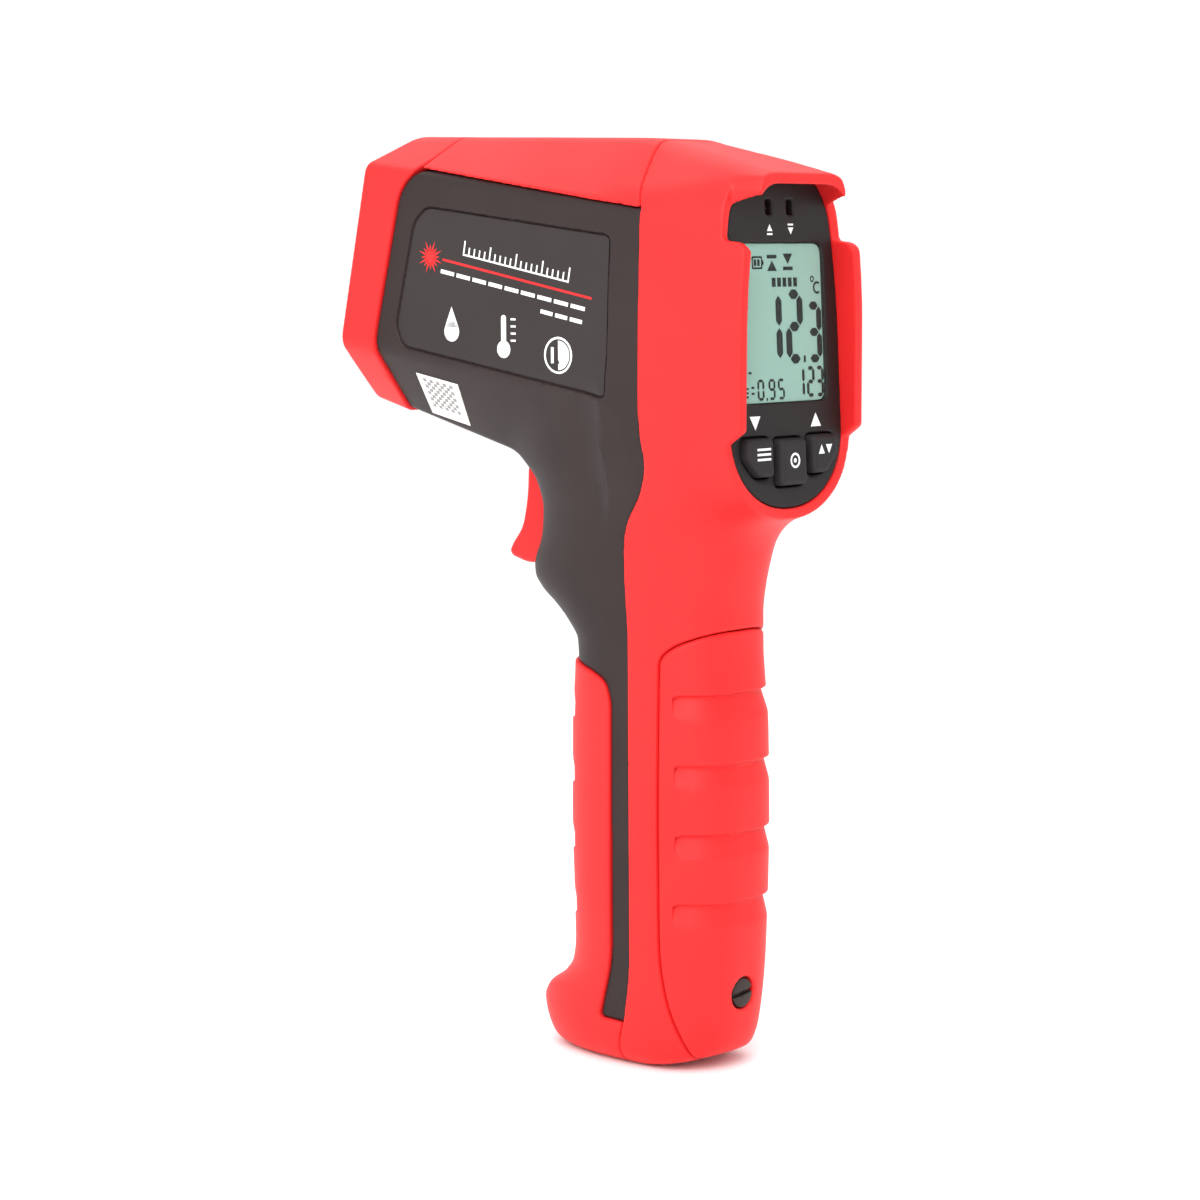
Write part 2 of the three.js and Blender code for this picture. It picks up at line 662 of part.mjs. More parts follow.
for (const [name, up] of [["upper", LASER_UP], ["lower", -LASER_UP]]) {
  add(
    `${name}_laser`,
    turned([[0, 0.8], [1.2, 0], [3.2, 0], [3.2, 9], [2.4, 9.6], [2.4, 12], [0, 12]], inNose(9.4, up), BACK, 16),
    "brass",
  );
  add(`${name}_laser_window`, rod(2.7, 1, inNose(5.7, up), BACK, 16), "clear");
}

// ---------------------------------------------------------------- display end
const rect = (x0, x1, z0, z1) => [[x0, z0], [x1, z0], [x1, z1], [x0, z1]];
const WINDOW = { half: 15, z0: 152.6, z1: 187.6 };
const KEY_ROW = [
  { name: "down_key", x: 11.5, z: 140.9, w: 9.2, h: 8.6, cut: 1 },
  { name: "set_key", x: 0, z: 139.6, w: 9.4, h: 10.4, cut: 0 },
  { name: "up_key", x: -11.5, z: 140.9, w: 9.2, h: 8.6, cut: -1 },
];
// The outer keys lose their lower outer corner, where the fascia turns round.
const keyOutline = (k, grow) => {
  const [a, b] = [k.w / 2 + grow, k.h / 2 + grow];
  const c = 4.2;
  const outer = [[-a, b], [-a, -b], [a - c, -b], [a, -b + c], [a, b]];
  const plain = [[-a, b], [-a, -b], [a, -b], [a, b]];
  return (k.cut === 0 ? plain : outer).map(([x, z]) => [k.x + (k.cut < 0 ? -x : x), k.z + z]);
};
const LAMPS = [
  { name: "high_lamp", x: 3.7 },
  { name: "low_lamp", x: -3.7 },
];
const LAMP = { half: 1.5, z0: 193, z1: 197 };
const lampRect = (x, grow) =>
  rect(x - LAMP.half - grow, x + LAMP.half + grow, LAMP.z0 - grow, LAMP.z1 + grow);
const fasciaHoles = [
  rect(-WINDOW.half, WINDOW.half, WINDOW.z0, WINDOW.z1),
  ...KEY_ROW.map((k) => keyOutline(k, 0.3)),
  ...LAMPS.map((l) => lampRect(l.x, 0.2)),
].map((h) => prismPanel(h, -10, 10));
const fasciaSlab = prismPanel(rect(-40, 40, 100, 215), -FASCIA_THICK, 0);
add("fascia", main(form(WALL + 0.3).intersect(fasciaSlab).subtract(union(...fasciaHoles))), "black");
const inWindow = (gap) => rect(-WINDOW.half + gap, WINDOW.half - gap, WINDOW.z0 + gap, WINDOW.z1 - gap);
add("display_window", prismPanel(inWindow(0.12), -0.55, -0.12), "clear");
const lcd = rect(-17, 17, 150.6, 189.6);
add("lcd_panel", prismPanel(lcd, -4.4, -2.3).add(prismPanel(inWindow(0.15), -2.4, -0.75)), "lcd");
add("backlight", prismPanel(lcd, -7.6, -4.7), "light");
const frameOuter = prismPanel(rect(-18.4, 18.4, 149.2, 191), -8.2, -2.3);
add("display_frame", frameOuter.subtract(prismPanel(rect(-17.3, 17.3, 150.3, 189.9), -20, 10)), "chip");
for (const l of LAMPS) add(l.name, prismPanel(lampRect(l.x, 0), -4.6, -1.5), "lamp");
const matOutline = mirrored([[15.4, 147.4], [15.4, 140], [10, 134.5]]);
add("keypad_mat", prismPanel(matOutline, -4.4, -2.4), "rubber");
for (const k of KEY_ROW) add(k.name, prismPanel(keyOutline(k, 0), -1.3, 2.1), "rubber");
add(
  "main_board",
  prismPanel([[-16, 134], [16, 134], [17.5, 142], [17.5, 190], [12, 194], [-12, 194], [-17.5, 190], [-17.5, 142]], -13.6, -12),
  "board",
);
add("main_chip", prismPanel(rect(-6, 6, 176, 188), -15.4, -13.8), "chip");
add("buzzer", rod(6, 4.2, v3(0, panelY(146) - 18.6, 146), Y_AXIS, 16), "chip");

// ---------------------------------------------------------------- trigger
const triggerSide = [
  [-36.4, 138.2],
  [-37.3, 135.4],
  [-37.6, 128.2],
  [-39.1, 121.2],
  [-42.3, 117.2],
  [-43.3, 115.3],
  [-42.6, 113.9],
  [-38.0, 112.6],
  [-34.5, 112.7],
  [-28.6, 114.2],
  [-26.0, 120.0],
  [-24.5, 130.0],
  [-23.4, 138.0],
  [-24.0, 143.6],
  [-30.6, 143.8],
];
add(
  "trigger",
  prismX(triggerSide, -TRIGGER_HALF, TRIGGER_HALF).subtract(
    rod(1.65, 20, v3(-10, PIVOT.y, PIVOT.z), X_AXIS, 14),
  ),
  "red",
);
add("trigger_pin", rod(1.3, 21, v3(-10.5, PIVOT.y, PIVOT.z), X_AXIS, 12), "steel");
const SPRING = { z: 119.4, y0: -25.2, y1: -12.1, r: 2.3, wire: 0.35, turns: 5 };
const coil = Array.from({ length: SPRING.turns * 8 + 1 }, (_, i) => {
  const a = (i / 8) * 2 * Math.PI;
  const y = SPRING.y0 + ((SPRING.y1 - SPRING.y0) * i) / (SPRING.turns * 8);
  return v3(SPRING.r * Math.cos(a), y, SPRING.z + SPRING.r * Math.sin(a));
});
add("trigger_spring", wire(coil, SPRING.wire, SPRING.turns * 10, 5), "steel");
const SWITCH = { y0: -19.5, y1: -11.5, z0: 125, z1: 131.5, half: 5 };
const PLUNGER_Z = 127;
add(
  "trigger_switch",
  box(-SWITCH.half, SWITCH.half, SWITCH.y0, SWITCH.y1, SWITCH.z0, SWITCH.z1).subtract(
    rod(1.25, 6, v3(0, SWITCH.y0 - 0.5, PLUNGER_Z), Y_AXIS, 12),
  ),
  "chip",
);
add("switch_plunger", rod(1.0, 7.2, v3(0, -24.2, PLUNGER_Z), Y_AXIS, 12), "light");

// ---------------------------------------------------------------- battery
const BATTERY = { half: 13, y0: -4.2, y1: 13.2, z0: 33.6, z1: 80.6 };
const middle = (BATTERY.y0 + BATTERY.y1) / 2;
const terminals = [
  { x: -6.4, r: 2.9 },
  { x: 6.4, r: 3.8 },
];
add(
  "battery",
  union(
    box(-BATTERY.half, BATTERY.half, BATTERY.y0, BATTERY.y1, BATTERY.z0, BATTERY.z1),
    ...terminals.map((t) => rod(t.r, 3, v3(t.x, middle, BATTERY.z1 - 0.2), Z_AXIS, 16)),
  ),
  "wrap",
);
add(
  "battery_snap",
  box(-12.4, 12.4, middle - 6, middle + 6, BATTERY.z1 + 0.3, BATTERY.z1 + 5.2).subtract(
    union(...terminals.map((t) => rod(t.r + 0.3, 3.2, v3(t.x, middle, BATTERY.z1), Z_AXIS, 16))),
  ),
  "blackWire",
);
const trayBoss = box(-4.6, 4.6, -6, 12, 13.5, 22.7);
const tray = prismX(
  [
    [-6.2, 12],
    [-4.7, 12],
    [-4.7, 31.6],
    [13, 31.6],
    [13, 33.1],
    [-4.7, 33.1],
    [-4.7, 89.6],
    [8, 89.6],
    [8, 91],
    [-6.2, 91],
  ],
  -12.2,
  12.2,
)
  .add(trayBoss)
  .subtract(rod(SCREW.shank + 0.3, 40, screwAt(6.8), Y_AXIS, 12))
  .subtract(box(-7, 7, 2, 6.4, 85, 95));
add("battery_tray", tray, "chip");
for (const [name, s, material] of [["red_lead", 1, "redWire"], ["black_lead", -1, "blackWire"]]) {
  const path = [
    v3(s * 3, middle, BATTERY.z1 + 5.6),
    v3(s * 3.4, middle + 0.2, 98),
    v3(s * 4.5, 9, 112),
    v3(s * 6, 13, 126),
    v3(s * 8, panelY(138) - 16.4, 138),
    v3(s * 8, panelY(141) - 14.1, 140.6),
  ];
  add(name, wire(path, 0.7, 14, 6), material);
}

// Flat cable from the sensor board to the main board.
const cable = [
  [-49.0, 174.6],
  [-44, 171.6],
  [-20, 168.8],
  [6, 169.2],
  [16, 168],
  [20.6, 166.4],
];
const half = 0.25;
add(
  "sensor_cable",
  prismX([...cable.map(([y, z]) => [y, z + half]), ...cable.reverse().map(([y, z]) => [y, z - half])], -6, 6),
  "light",
);

export default group;
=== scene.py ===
"""Looks of the infrared thermometer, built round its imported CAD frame.

Lengths are in millimetres until a mesh is made, and in metres from there on. The axes are the frame's:
+Z up along the handle, -Y towards the target, +X to the user's left. Every moulding is a field that is
negative inside the plastic, sampled on a grid and turned into a mesh, so that edges, seams and fillets
have real radii.
"""

import json
import math
from typing import NamedTuple

import bmesh
import bpy
import numpy as np
import openvdb
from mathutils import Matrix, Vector


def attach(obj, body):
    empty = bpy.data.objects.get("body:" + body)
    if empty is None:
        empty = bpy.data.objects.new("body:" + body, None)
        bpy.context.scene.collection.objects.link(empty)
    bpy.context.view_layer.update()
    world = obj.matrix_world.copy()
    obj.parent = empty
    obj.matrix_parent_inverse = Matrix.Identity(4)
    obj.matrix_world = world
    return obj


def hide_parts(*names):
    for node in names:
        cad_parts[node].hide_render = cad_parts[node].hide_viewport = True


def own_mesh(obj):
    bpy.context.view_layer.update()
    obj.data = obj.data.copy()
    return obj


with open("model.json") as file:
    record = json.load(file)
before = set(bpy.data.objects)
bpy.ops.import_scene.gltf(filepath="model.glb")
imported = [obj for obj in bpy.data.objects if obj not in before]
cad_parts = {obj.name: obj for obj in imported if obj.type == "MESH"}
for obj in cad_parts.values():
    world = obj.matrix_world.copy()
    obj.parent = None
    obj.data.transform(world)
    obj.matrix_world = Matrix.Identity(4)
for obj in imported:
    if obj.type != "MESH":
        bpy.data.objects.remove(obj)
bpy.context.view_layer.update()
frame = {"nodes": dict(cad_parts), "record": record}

MM = 0.001
WALL = 2.6  # thickness of the red mouldings
DARK_INSET = 0.8  # the charcoal halves lie this far below the red skin
DARK_WALL = 2.4
GAP = 0.07  # from a moulding's edge to the seam line
EDGE = 0.5  # rounding of moulded edges along a seam

AIM_TILT = math.radians(12.1)
LEAN = math.tan(AIM_TILT)
NOSE_Y, NOSE_Z = -72.7, 182.0
PANEL_LEAN = -0.0544
PANEL_Y, PANEL_Z = 33.9, 187.6
RIM = 40.5  # how far back the hood and the guards reach


# ---------------------------------------------------------------- field helpers
def smax(a, b, k):
    """Larger of two fields, with the edge between them rounded over a width k."""
    h = np.maximum(k - np.abs(a - b), 0.0)
    return np.maximum(a, b) + h * h / (4.0 * k)


def smin(a, b, k):
    return -smax(-a, -b, k)


def smooth(knots, t):
    """Monotone curve through (t, value) knots, flat beyond both ends."""
    xs, ys = np.array(knots, float).T
    step = np.diff(xs)
    slope = np.diff(ys) / step
    tangent = np.empty_like(ys)
    tangent[0], tangent[-1] = slope[0], slope[-1]
    same = slope[:-1] * slope[1:] > 0
    mean = 2 * slope[:-1] * slope[1:] / np.where(same, slope[:-1] + slope[1:], 1)
    tangent[1:-1] = np.where(same, mean, 0)
    i = np.clip(np.searchsorted(xs, t) - 1, 0, len(xs) - 2)
    s = np.clip((t - xs[i]) / step[i], 0, 1)
    a, b = ys[i], ys[i + 1]
    return (
        a * (1 + 2 * s) * (1 - s) ** 2
        + b * s * s * (3 - 2 * s)
        + step[i] * (tangent[i] * s * (1 - s) ** 2 - tangent[i + 1] * s * s * (1 - s))
    )


def across(a, z, a0, z0, a1, z1):
    """Distance beyond the line from (a0, z0) to (a1, z1), positive on its left."""
    da, dz = a1 - a0, z1 - z0
    return ((z - z0) * da - (a - a0) * dz) / np.hypot(da, dz)


def rounded(points, radius, steps=5):
    """Corners of a closed outline turned into arcs; radius is one number or one for each corner."""
    out, n = [], len(points)
    for i, p in enumerate(points):
        r = radius[i] if isinstance(radius, (list, tuple)) else radius
        p = np.array(p, float)
        to_last = np.array(points[i - 1], float) - p
        to_next = np.array(points[(i + 1) % n], float) - p
        reach_last, reach_next = np.linalg.norm(to_last), np.linalg.norm(to_next)
        reach = min(r, 0.45 * reach_last, 0.45 * reach_next)
        if reach < 0.05:
            out.append(tuple(p))
            continue
        a, b = p + to_last * reach / reach_last, p + to_next * reach / reach_next
        for k in range(steps + 1):
            t = k / steps
            out.append(tuple((1 - t) ** 2 * a + 2 * t * (1 - t) * p + t * t * b))
    return out


def outline(points, u, v):
    """Signed distance to a closed outline in the plane of u and v, negative inside."""
    best = np.full(np.broadcast(u, v).shape, 1e9)
    inside = np.zeros(best.shape, bool)
    n = len(points)
    for i in range(n):
        (u0, v0), (u1, v1) = points[i], points[(i + 1) % n]
        du, dv = u1 - u0, v1 - v0
        span = du * du + dv * dv
        if span < 1e-12:
            continue
        t = np.clip(((u - u0) * du + (v - v0) * dv) / span, 0, 1)
        best = np.minimum(best, (u - u0 - t * du) ** 2 + (v - v0 - t * dv) ** 2)
        if dv:
            crosses = ((v0 > v) != (v1 > v)) & (u < u0 + (v - v0) * du / dv)
            inside ^= crosses
    return np.where(inside, -1, 1) * np.sqrt(best)


# ---------------------------------------------------------------- the outer form
def side_x(y, z):
    """Half-width of the barrel, which tapers towards the user."""
    return 28.0 - (y - LEAN * (z - NOSE_Z) - NOSE_Y) * (2.0 / 87.0)


def crease_top(y):
    return 203.8 - 0.1314 * (y + 52)


def crease_low(y):
    return 163.0 - 0.112 * (y + 66)


def underside(y):
    return 150.4 - 0.263 * (y + 79.4)


def barrel(a, y, z, capped):
    top_z = 212.5 - 0.0235 * (y + 66)
    top_a = 12.0 - 0.0172 * (y + 66)
    side = side_x(y, z)
    f = smax(z - top_z, across(a, z, top_a, top_z, side, crease_top(y)), 1.3)
    f = smax(f, a - side, 1.8)
    chamfer = across(a, z, side, crease_low(y), 12.8, underside(y))
    f = smax(f, chamfer, 1.8)
    f = smax(f, underside(y) - z, 1.2)
    if capped:
        f = smax(f, (NOSE_Y + LEAN * (z - NOSE_Z) - y) * math.cos(AIM_TILT), 1.0)
    return f


DISPLAY = {
    "side": [(6, 26.2), (14.4, 25.9), (24, 24.3), (33, 22.5), (41, 21.7)],
    "top": [(6, 10.7), (14.4, 10.8), (24, 12.0), (33, 13.0), (41, 13.0)],
    "top_z": [(0, 211.1), (6, 210.8), (10.2, 210.1), (18.2, 208.4), (33.9, 204.6), (41, 202.8)],
    "shoulder": [(6, 25.6), (14.4, 25.2), (24, 22.6), (33, 19.8), (41, 18.2)],
    "shoulder_z": [(6, 196.2), (14.4, 196.4), (24, 197.4), (33, 198.2), (41, 198.6)],
    "side_z": [(6, 193), (14.4, 191), (24, 188), (33, 186), (41, 185)],
    "low_z": [(6, 150), (14.4, 149), (24, 148), (33, 147.4), (41, 147)],
    "end_z": [(6, 120), (14.4, 121.4), (24, 123.6), (33, 126.6), (41, 129.0)],
}


def fascia_depth(y, z):
    """Position along the display axis, constant over the leaning fascia."""
    return y - PANEL_LEAN * (z - PANEL_Z)


def display(a, y, z, capped):
    q = fascia_depth(y, z)
    s = {k: smooth(v, q) for k, v in DISPLAY.items()}
    drop = s["low_z"] - s["end_z"]
    u, v, n = a / s["side"], np.maximum(s["low_z"] - z, 0) / drop, 2.15
    rho = np.maximum((u**n + v**n) ** (1 / n), 1e-3)
    steep = np.hypot((u / rho) ** (n - 1) / s["side"], (v / rho) ** (n - 1) / drop)
    f = (rho - 1) / np.maximum(steep, 0.02)
    f = smax(f, across(a, z, s["shoulder"], s["shoulder_z"], s["side"], s["side_z"]), 4.0)
    gable = across(a, z, s["top"], s["top_z"], s["shoulder"], s["shoulder_z"])
    f = smax(f, gable, 3.5)
    f = smax(f, z - s["top_z"], 2.5)
    if capped:
        f = smax(f, y - RIM, 0.9)
    return f


GRIP = {
    "front": [
        (-4, -27.0), (0, -27.6), (3, -28.8), (7, -30.3), (11, -30.9), (14, -29.4), (18, -23.6),
        (22, -20.4), (27, -19.6), (40, -20.0), (55, -20.6), (78, -20.6), (92, -19.8), (97, -20.2),
        (100.5, -23.0), (104.5, -27.6), (108, -32.6), (111, -35.0), (113, -35.2), (120, -32.4),
        (127, -31.4), (133, -33.4), (138, -36.0), (150, -36.0),
    ],
    "rear": [
        (-4, 18.5), (0, 20.0), (4, 22.0), (9, 23.6), (18, 24.7), (26, 25.3), (55, 25.9), (78, 25.5),
        (98, 23.8), (104, 23.9), (110, 24.9), (118, 27.0), (124, 29.3), (130, 31.2), (142, 32.0),
    ],
    "half": [
        (-4, 10.5), (0, 13.4), (4, 15.8), (9, 17.0), (18, 17.4), (55, 17.7), (98, 17.8), (113, 18.8),
        (122, 19.6), (132, 20.7), (142, 21.8), (150, 22.0),
    ],
    "power": [(0, 2.4), (20, 2.55), (55, 2.6), (98, 2.5), (113, 2.35), (142, 2.3)],
}


def grip(a, y, z):
    s = {k: smooth(v, z) for k, v in GRIP.items()}
    middle = smooth([(0, 0), (20, 2), (55, 3), (98, 3), (110, 1), (125, 0)], z)
    ahead = y < middle
    depth = np.where(ahead, middle - s["front"], s["rear"] - middle)
    n = s["power"]
    u, v = a / s["half"], np.abs(y - middle) / depth
    rho = np.maximum((u**n + v**n) ** (1 / n), 1e-3)
    steep = np.hypot((u / rho) ** (n - 1) / s["half"], (v / rho) ** (n - 1) / depth)
    f = (rho - 1) / np.maximum(steep, 0.02)
    # The foot is flat in the middle and rises towards the back.
    f = smax(f, -z, 4.0)
    f = smax(f, (y - 9.0) * 0.30 - z * 0.954, 2.0)
    return smax(f, z - 150, 2.0)


def body(x, y, z, capped=True):
    """The whole outer form. Uncapped, it runs on through the nose and the display end."""
    a = np.abs(x)
    nose, rear = barrel(a, y, z, capped), display(a, y, z, capped)
    # Above, one form fades into the other; below, they meet in a wide fillet.
    fade = smooth([(1, 0.0), (6, 0.5), (11, 1.0)], y)
    above = nose + (rear - nose) * fade
    below = smin(smax(nose, y - 7, 1.0), smax(rear, 2.0 - y, 1.0), 8.0)
    fillet = smooth([(142, 1.0), (164, 0.0)], z)
    head = above + (below - above) * fillet
    return smin(head, grip(a, y, z), 5.0)


# ---------------------------------------------------------------- seams, in (y, z)
FAR = 90
NOSE_SEAM = [(-51.4, 230), (-51.6, 204.6), (-57.2, 199.4), (-65.2, 167), (-66.0, 161), (-70.5, 136)]
DARK_TOP = [NOSE_SEAM[1], (14.0, 195.1)]
REAR_SEAM = [
    (7.4, 230), (8.4, 209.8), (10, 203.5), (14.0, 195.1), (14.5, 175), (14.5, 150), (15.8, 139.5),
    (12.6, 132.8), (4.9, 124.2), (4.4, 113), (4.7, 92), (4.9, 60), (4.8, 20.4), (2.9, 10.7),
]
FOOT_SEAM = [REAR_SEAM[-1], (0.9, 5), (0.8, -12)]
GRIP_SEAM = [(-40, 94.8), (-14, 92.2), (-7, 90.8), (-2.6, 89.0), (-0.8, 84.6), (-0.8, 24), (-4.4, 11.0)]
COVER_SEAM = [
    (60, 101.5), (24, 101.5), (20.8, 100.4), (16.0, 98.2), (12.8, 95.4), (12.7, 60), (12.9, 26),
    (14.6, 15.6), (17.4, 6.5), (19.4, -12),
]

NOSE_REGION = rounded([(-FAR, 230), *NOSE_SEAM, (-FAR, 136)], 4)
TOP_REGION = rounded([NOSE_SEAM[0], *REAR_SEAM[:4], NOSE_SEAM[1]], [0, 0, 2, 6, 0.8, 0.8])
REAR_REGION = rounded(
    [(FAR, 230), *REAR_SEAM, *FOOT_SEAM[1:], *reversed(COVER_SEAM), (FAR, 101.5)],
    [0, 0, 2, 6, 0.8, 6, 5, 3, 4, 5, 6, 6, 6, 6, 0.8, 3, 0] + [0, 3, 5, 5, 5, 2.4, 2, 4, 2, 0, 0],
)
COVER_REGION = rounded([*COVER_SEAM, (FAR, -12)], [0, 2, 4, 2, 2.4, 5, 5, 5, 3, 0, 0])
GRIP_REGION = rounded(
    [*GRIP_SEAM, REAR_SEAM[-1], *FOOT_SEAM[1:], (-60, -12), (-60, 94.8)],
    [0, 3, 3, 3, 4, 4, 1.2, 1.0, 3, 0, 0, 0],
)
DARK_REGION = rounded(
    [*DARK_TOP, *REAR_SEAM[4:], *reversed(GRIP_SEAM), (-70.5, 94.8), *reversed(NOSE_SEAM[2:])],
    [4, 0.8] + [6, 5, 3, 4, 5, 6, 6, 6, 6, 0.8] + [1.2, 4, 4, 3, 3, 3, 0] + [0, 0, 4, 4, 4],
)


# ---------------------------------------------------------------- fields into meshes
VOXEL = 0.42  # large mouldings
FINE = 0.3  # those with small features
LABEL_VOXEL = 0.16
WINDOW_VOXEL, KEY_VOXEL, SCREW_VOXEL = 0.26, 0.22, 0.16
FLAT_MERGE = 0.02  # how readily nearly flat faces are merged
SLOPE_STEP = 0.6  # in voxels, for the normals


def sample(low, high, voxel):
    """Axes of a sampling grid, each shaped to broadcast against the other two."""
    count = [int(math.ceil((b - a) / voxel)) + 1 for a, b in zip(low, high)]
    x, y, z = (a + voxel * np.arange(n, dtype=np.float32) for a, n in zip(low, count))
    return x[:, None, None], y[None, :, None], z[None, None, :]


def between(values, at):
    """The sampled field at fractional grid positions, by trilinear interpolation."""
    at = np.clip(at, 0, np.array(values.shape) - 1.001)
    i = at.astype(int)
    f = at - i
    total = np.zeros(len(at))
    for corner in np.ndindex(2, 2, 2):
        weight = np.prod(np.where(corner, f, 1 - f), axis=1)
        total += weight * values[tuple((i + corner).T)]
    return total


def new_object(name, points, faces, normals=None):
    mesh = bpy.data.meshes.new(name)
    mesh.from_pydata(points, [], faces)
    mesh.shade_smooth()
    if normals is not None:
        mesh.normals_split_custom_set_from_vertices(normals)
    obj = bpy.data.objects.new(name, mesh)
    bpy.context.scene.collection.objects.link(obj)
    return obj


def moulded(name, field, low, high, voxel, mirrored=False):
    """The inside of a field as a closed mesh. A mirrored one is sampled from x = 0 out."""
    x, y, z = sample((0 if mirrored else low[0], *low[1:]), high, voxel)
    values = np.broadcast_to(field(x, y, z), (x.size, y.size, z.size)).astype(np.float32)
    if mirrored:
        values = np.concatenate([values[:0:-1], values])
    start = np.array([-x[-1, 0, 0] if mirrored else low[0], *low[1:]])
    volume = openvdb.FloatGrid()
    volume.background = 9.0
    volume.copyFromArray(np.ascontiguousarray(values))
    points, triangles, quads = volume.convertToPolygons(0.0, FLAT_MERGE)
    slope = np.empty(points.shape)
    for axis in range(3):
        step = SLOPE_STEP * np.eye(3)[axis]
        slope[:, axis] = between(values, points + step) - between(values, points - step)
    normals = slope / np.maximum(np.linalg.norm(slope, axis=1, keepdims=True), 1e-9)
    corners = np.concatenate([triangles, quads[:, :3]])
    a, b, c = (points[corners[:, k]] for k in range(3))
    outward = np.einsum("ij,ij->i", np.cross(b - a, c - a), normals[corners[:, 0]]).sum() > 0
    order = slice(None) if outward else slice(None, None, -1)
    faces = [f[order] for f in triangles.tolist() + quads.tolist()]
    return new_object(name, (start + voxel * points) * MM, faces, normals)


# ---------------------------------------------------------------- finishes
class Finish(NamedTuple):
    base: tuple  # two colours that drift into one another
    drift: tuple
    rough: tuple  # span of the roughness
    grain: float  # size of the grain, in mm
    depth: float  # how deep the grain is, in mm
    pattern: str = "spark"  # what the grain follows
    metal: float = 0.0
    alpha: float = 1.0
    gloss: float = 0.22


FINISHES = {
    "red_plastic": Finish((0.72, 0.019, 0.019), (0.67, 0.015, 0.016), (0.42, 0.54), 0.42, 0.012),
    "charcoal_plastic": Finish((0.026, 0.016, 0.015), (0.020, 0.012, 0.012), (0.42, 0.58), 0.5, 0.016),
    "black_plastic": Finish((0.013, 0.010, 0.010), (0.009, 0.008, 0.008), (0.40, 0.52), 0.35, 0.006),
    "key_rubber": Finish((0.016, 0.014, 0.015), (0.022, 0.019, 0.020), (0.55, 0.72), 0.3, 0.006),
    "seal_rubber": Finish((0.085, 0.090, 0.10), (0.065, 0.070, 0.078), (0.75, 0.95), 0.6, 0.03, "foam"),
    "clear_plastic": Finish((0.50, 0.56, 0.54), (0.44, 0.50, 0.48), (0.05, 0.12), 3.0, 0.002, alpha=0.02),
    "lcd": Finish((0.205, 0.355, 0.300), (0.230, 0.380, 0.320), (0.30, 0.38), 0.3, 0.001, "lines"),
    "white_plastic": Finish((0.78, 0.78, 0.74), (0.72, 0.72, 0.69), (0.35, 0.5), 0.5, 0.008),
    "circuit_board": Finish(
        (0.010, 0.085, 0.030), (0.020, 0.15, 0.055), (0.30, 0.45), 2.2, 0.03, "tracks"
    ),
    "steel": Finish(
        (0.50, 0.51, 0.53), (0.42, 0.43, 0.45), (0.22, 0.38), 0.25, 0.004, "brushed", metal=1.0
    ),
    "dark_steel": Finish(
        (0.060, 0.045, 0.040), (0.036, 0.028, 0.026), (0.30, 0.48), 0.25, 0.008, "brushed", metal=0.7
    ),
    "brass": Finish(
        (0.62, 0.42, 0.13), (0.52, 0.34, 0.10), (0.25, 0.40), 0.25, 0.004, "brushed", metal=1.0
    ),
    "lens_glass": Finish(
        (0.030, 0.038, 0.060), (0.060, 0.035, 0.075), (0.04, 0.08), 4.0, 0.001, metal=0.35
    ),
    "lamp_lens": Finish((0.050, 0.010, 0.010), (0.022, 0.008, 0.008), (0.10, 0.20), 0.6, 0.006, "lines"),
    "battery_wrap": Finish(
        (0.020, 0.045, 0.16), (0.015, 0.035, 0.13), (0.25, 0.35), 1.2, 0.004, "brushed"
    ),
    "red_wire": Finish((0.52, 0.012, 0.012), (0.44, 0.010, 0.010), (0.40, 0.55), 0.4, 0.006),
    "black_wire": Finish((0.012, 0.012, 0.012), (0.020, 0.020, 0.020), (0.40, 0.55), 0.4, 0.006),
    "label_film": Finish((0.028, 0.022, 0.021), (0.024, 0.019, 0.018), (0.40, 0.50), 0.22, 0.004),
    "sticker_paper": Finish((0.82, 0.82, 0.80), (0.76, 0.76, 0.75), (0.50, 0.62), 0.5, 0.005, "foam"),
    "ink_black": Finish(
        (0.004, 0.006, 0.006), (0.007, 0.010, 0.009), (0.35, 0.5), 0.25, 0.001, gloss=0.08
    ),
    "ink_white": Finish((0.80, 0.80, 0.80), (0.70, 0.70, 0.70), (0.40, 0.55), 0.25, 0.002),
    "ink_grey": Finish((0.30, 0.29, 0.29), (0.25, 0.24, 0.24), (0.40, 0.55), 0.25, 0.002),
    "ink_red": Finish((0.70, 0.020, 0.022), (0.60, 0.016, 0.018), (0.40, 0.55), 0.25, 0.002),
    "floor_paper": Finish((0.985, 0.985, 0.985), (0.97, 0.97, 0.97), (0.75, 0.9), 1.5, 0.01, "foam"),
}
STRETCH = {"brushed": (1, 1, 14), "lines": (0.02, 0.02, 1)}
PATTERN_NODES = {"foam": "ShaderNodeTexVoronoi", "tracks": "ShaderNodeTexBrick"}
GRAIN_SHARE = 0.35  # of the colour's drift; slow clouds give the rest
CLOUDS_PER_METRE = 55


def grain_texture(nodes, links, place, finish):
    """The texture node output that gives a finish its grain."""
    mapping = nodes.new("ShaderNodeMapping")
    mapping.inputs["Scale"].default_value = STRETCH.get(finish.pattern, (1, 1, 1))
    links.new(place, mapping.inputs["Vector"])
    kind = PATTERN_NODES.get(finish.pattern, "ShaderNodeTexNoise")
    texture = nodes.new(kind)
    texture.inputs["Scale"].default_value = 1 / (finish.grain * MM)
    links.new(mapping.outputs["Vector"], texture.inputs["Vector"])
    if kind == "ShaderNodeTexNoise":
        texture.inputs["Detail"].default_value = 4
        texture.inputs["Roughness"].default_value = 0.6
        return texture.outputs["Fac"]
    if kind == "ShaderNodeTexVoronoi":
        return texture.outputs["Distance"]
    return texture.outputs["Fac"]


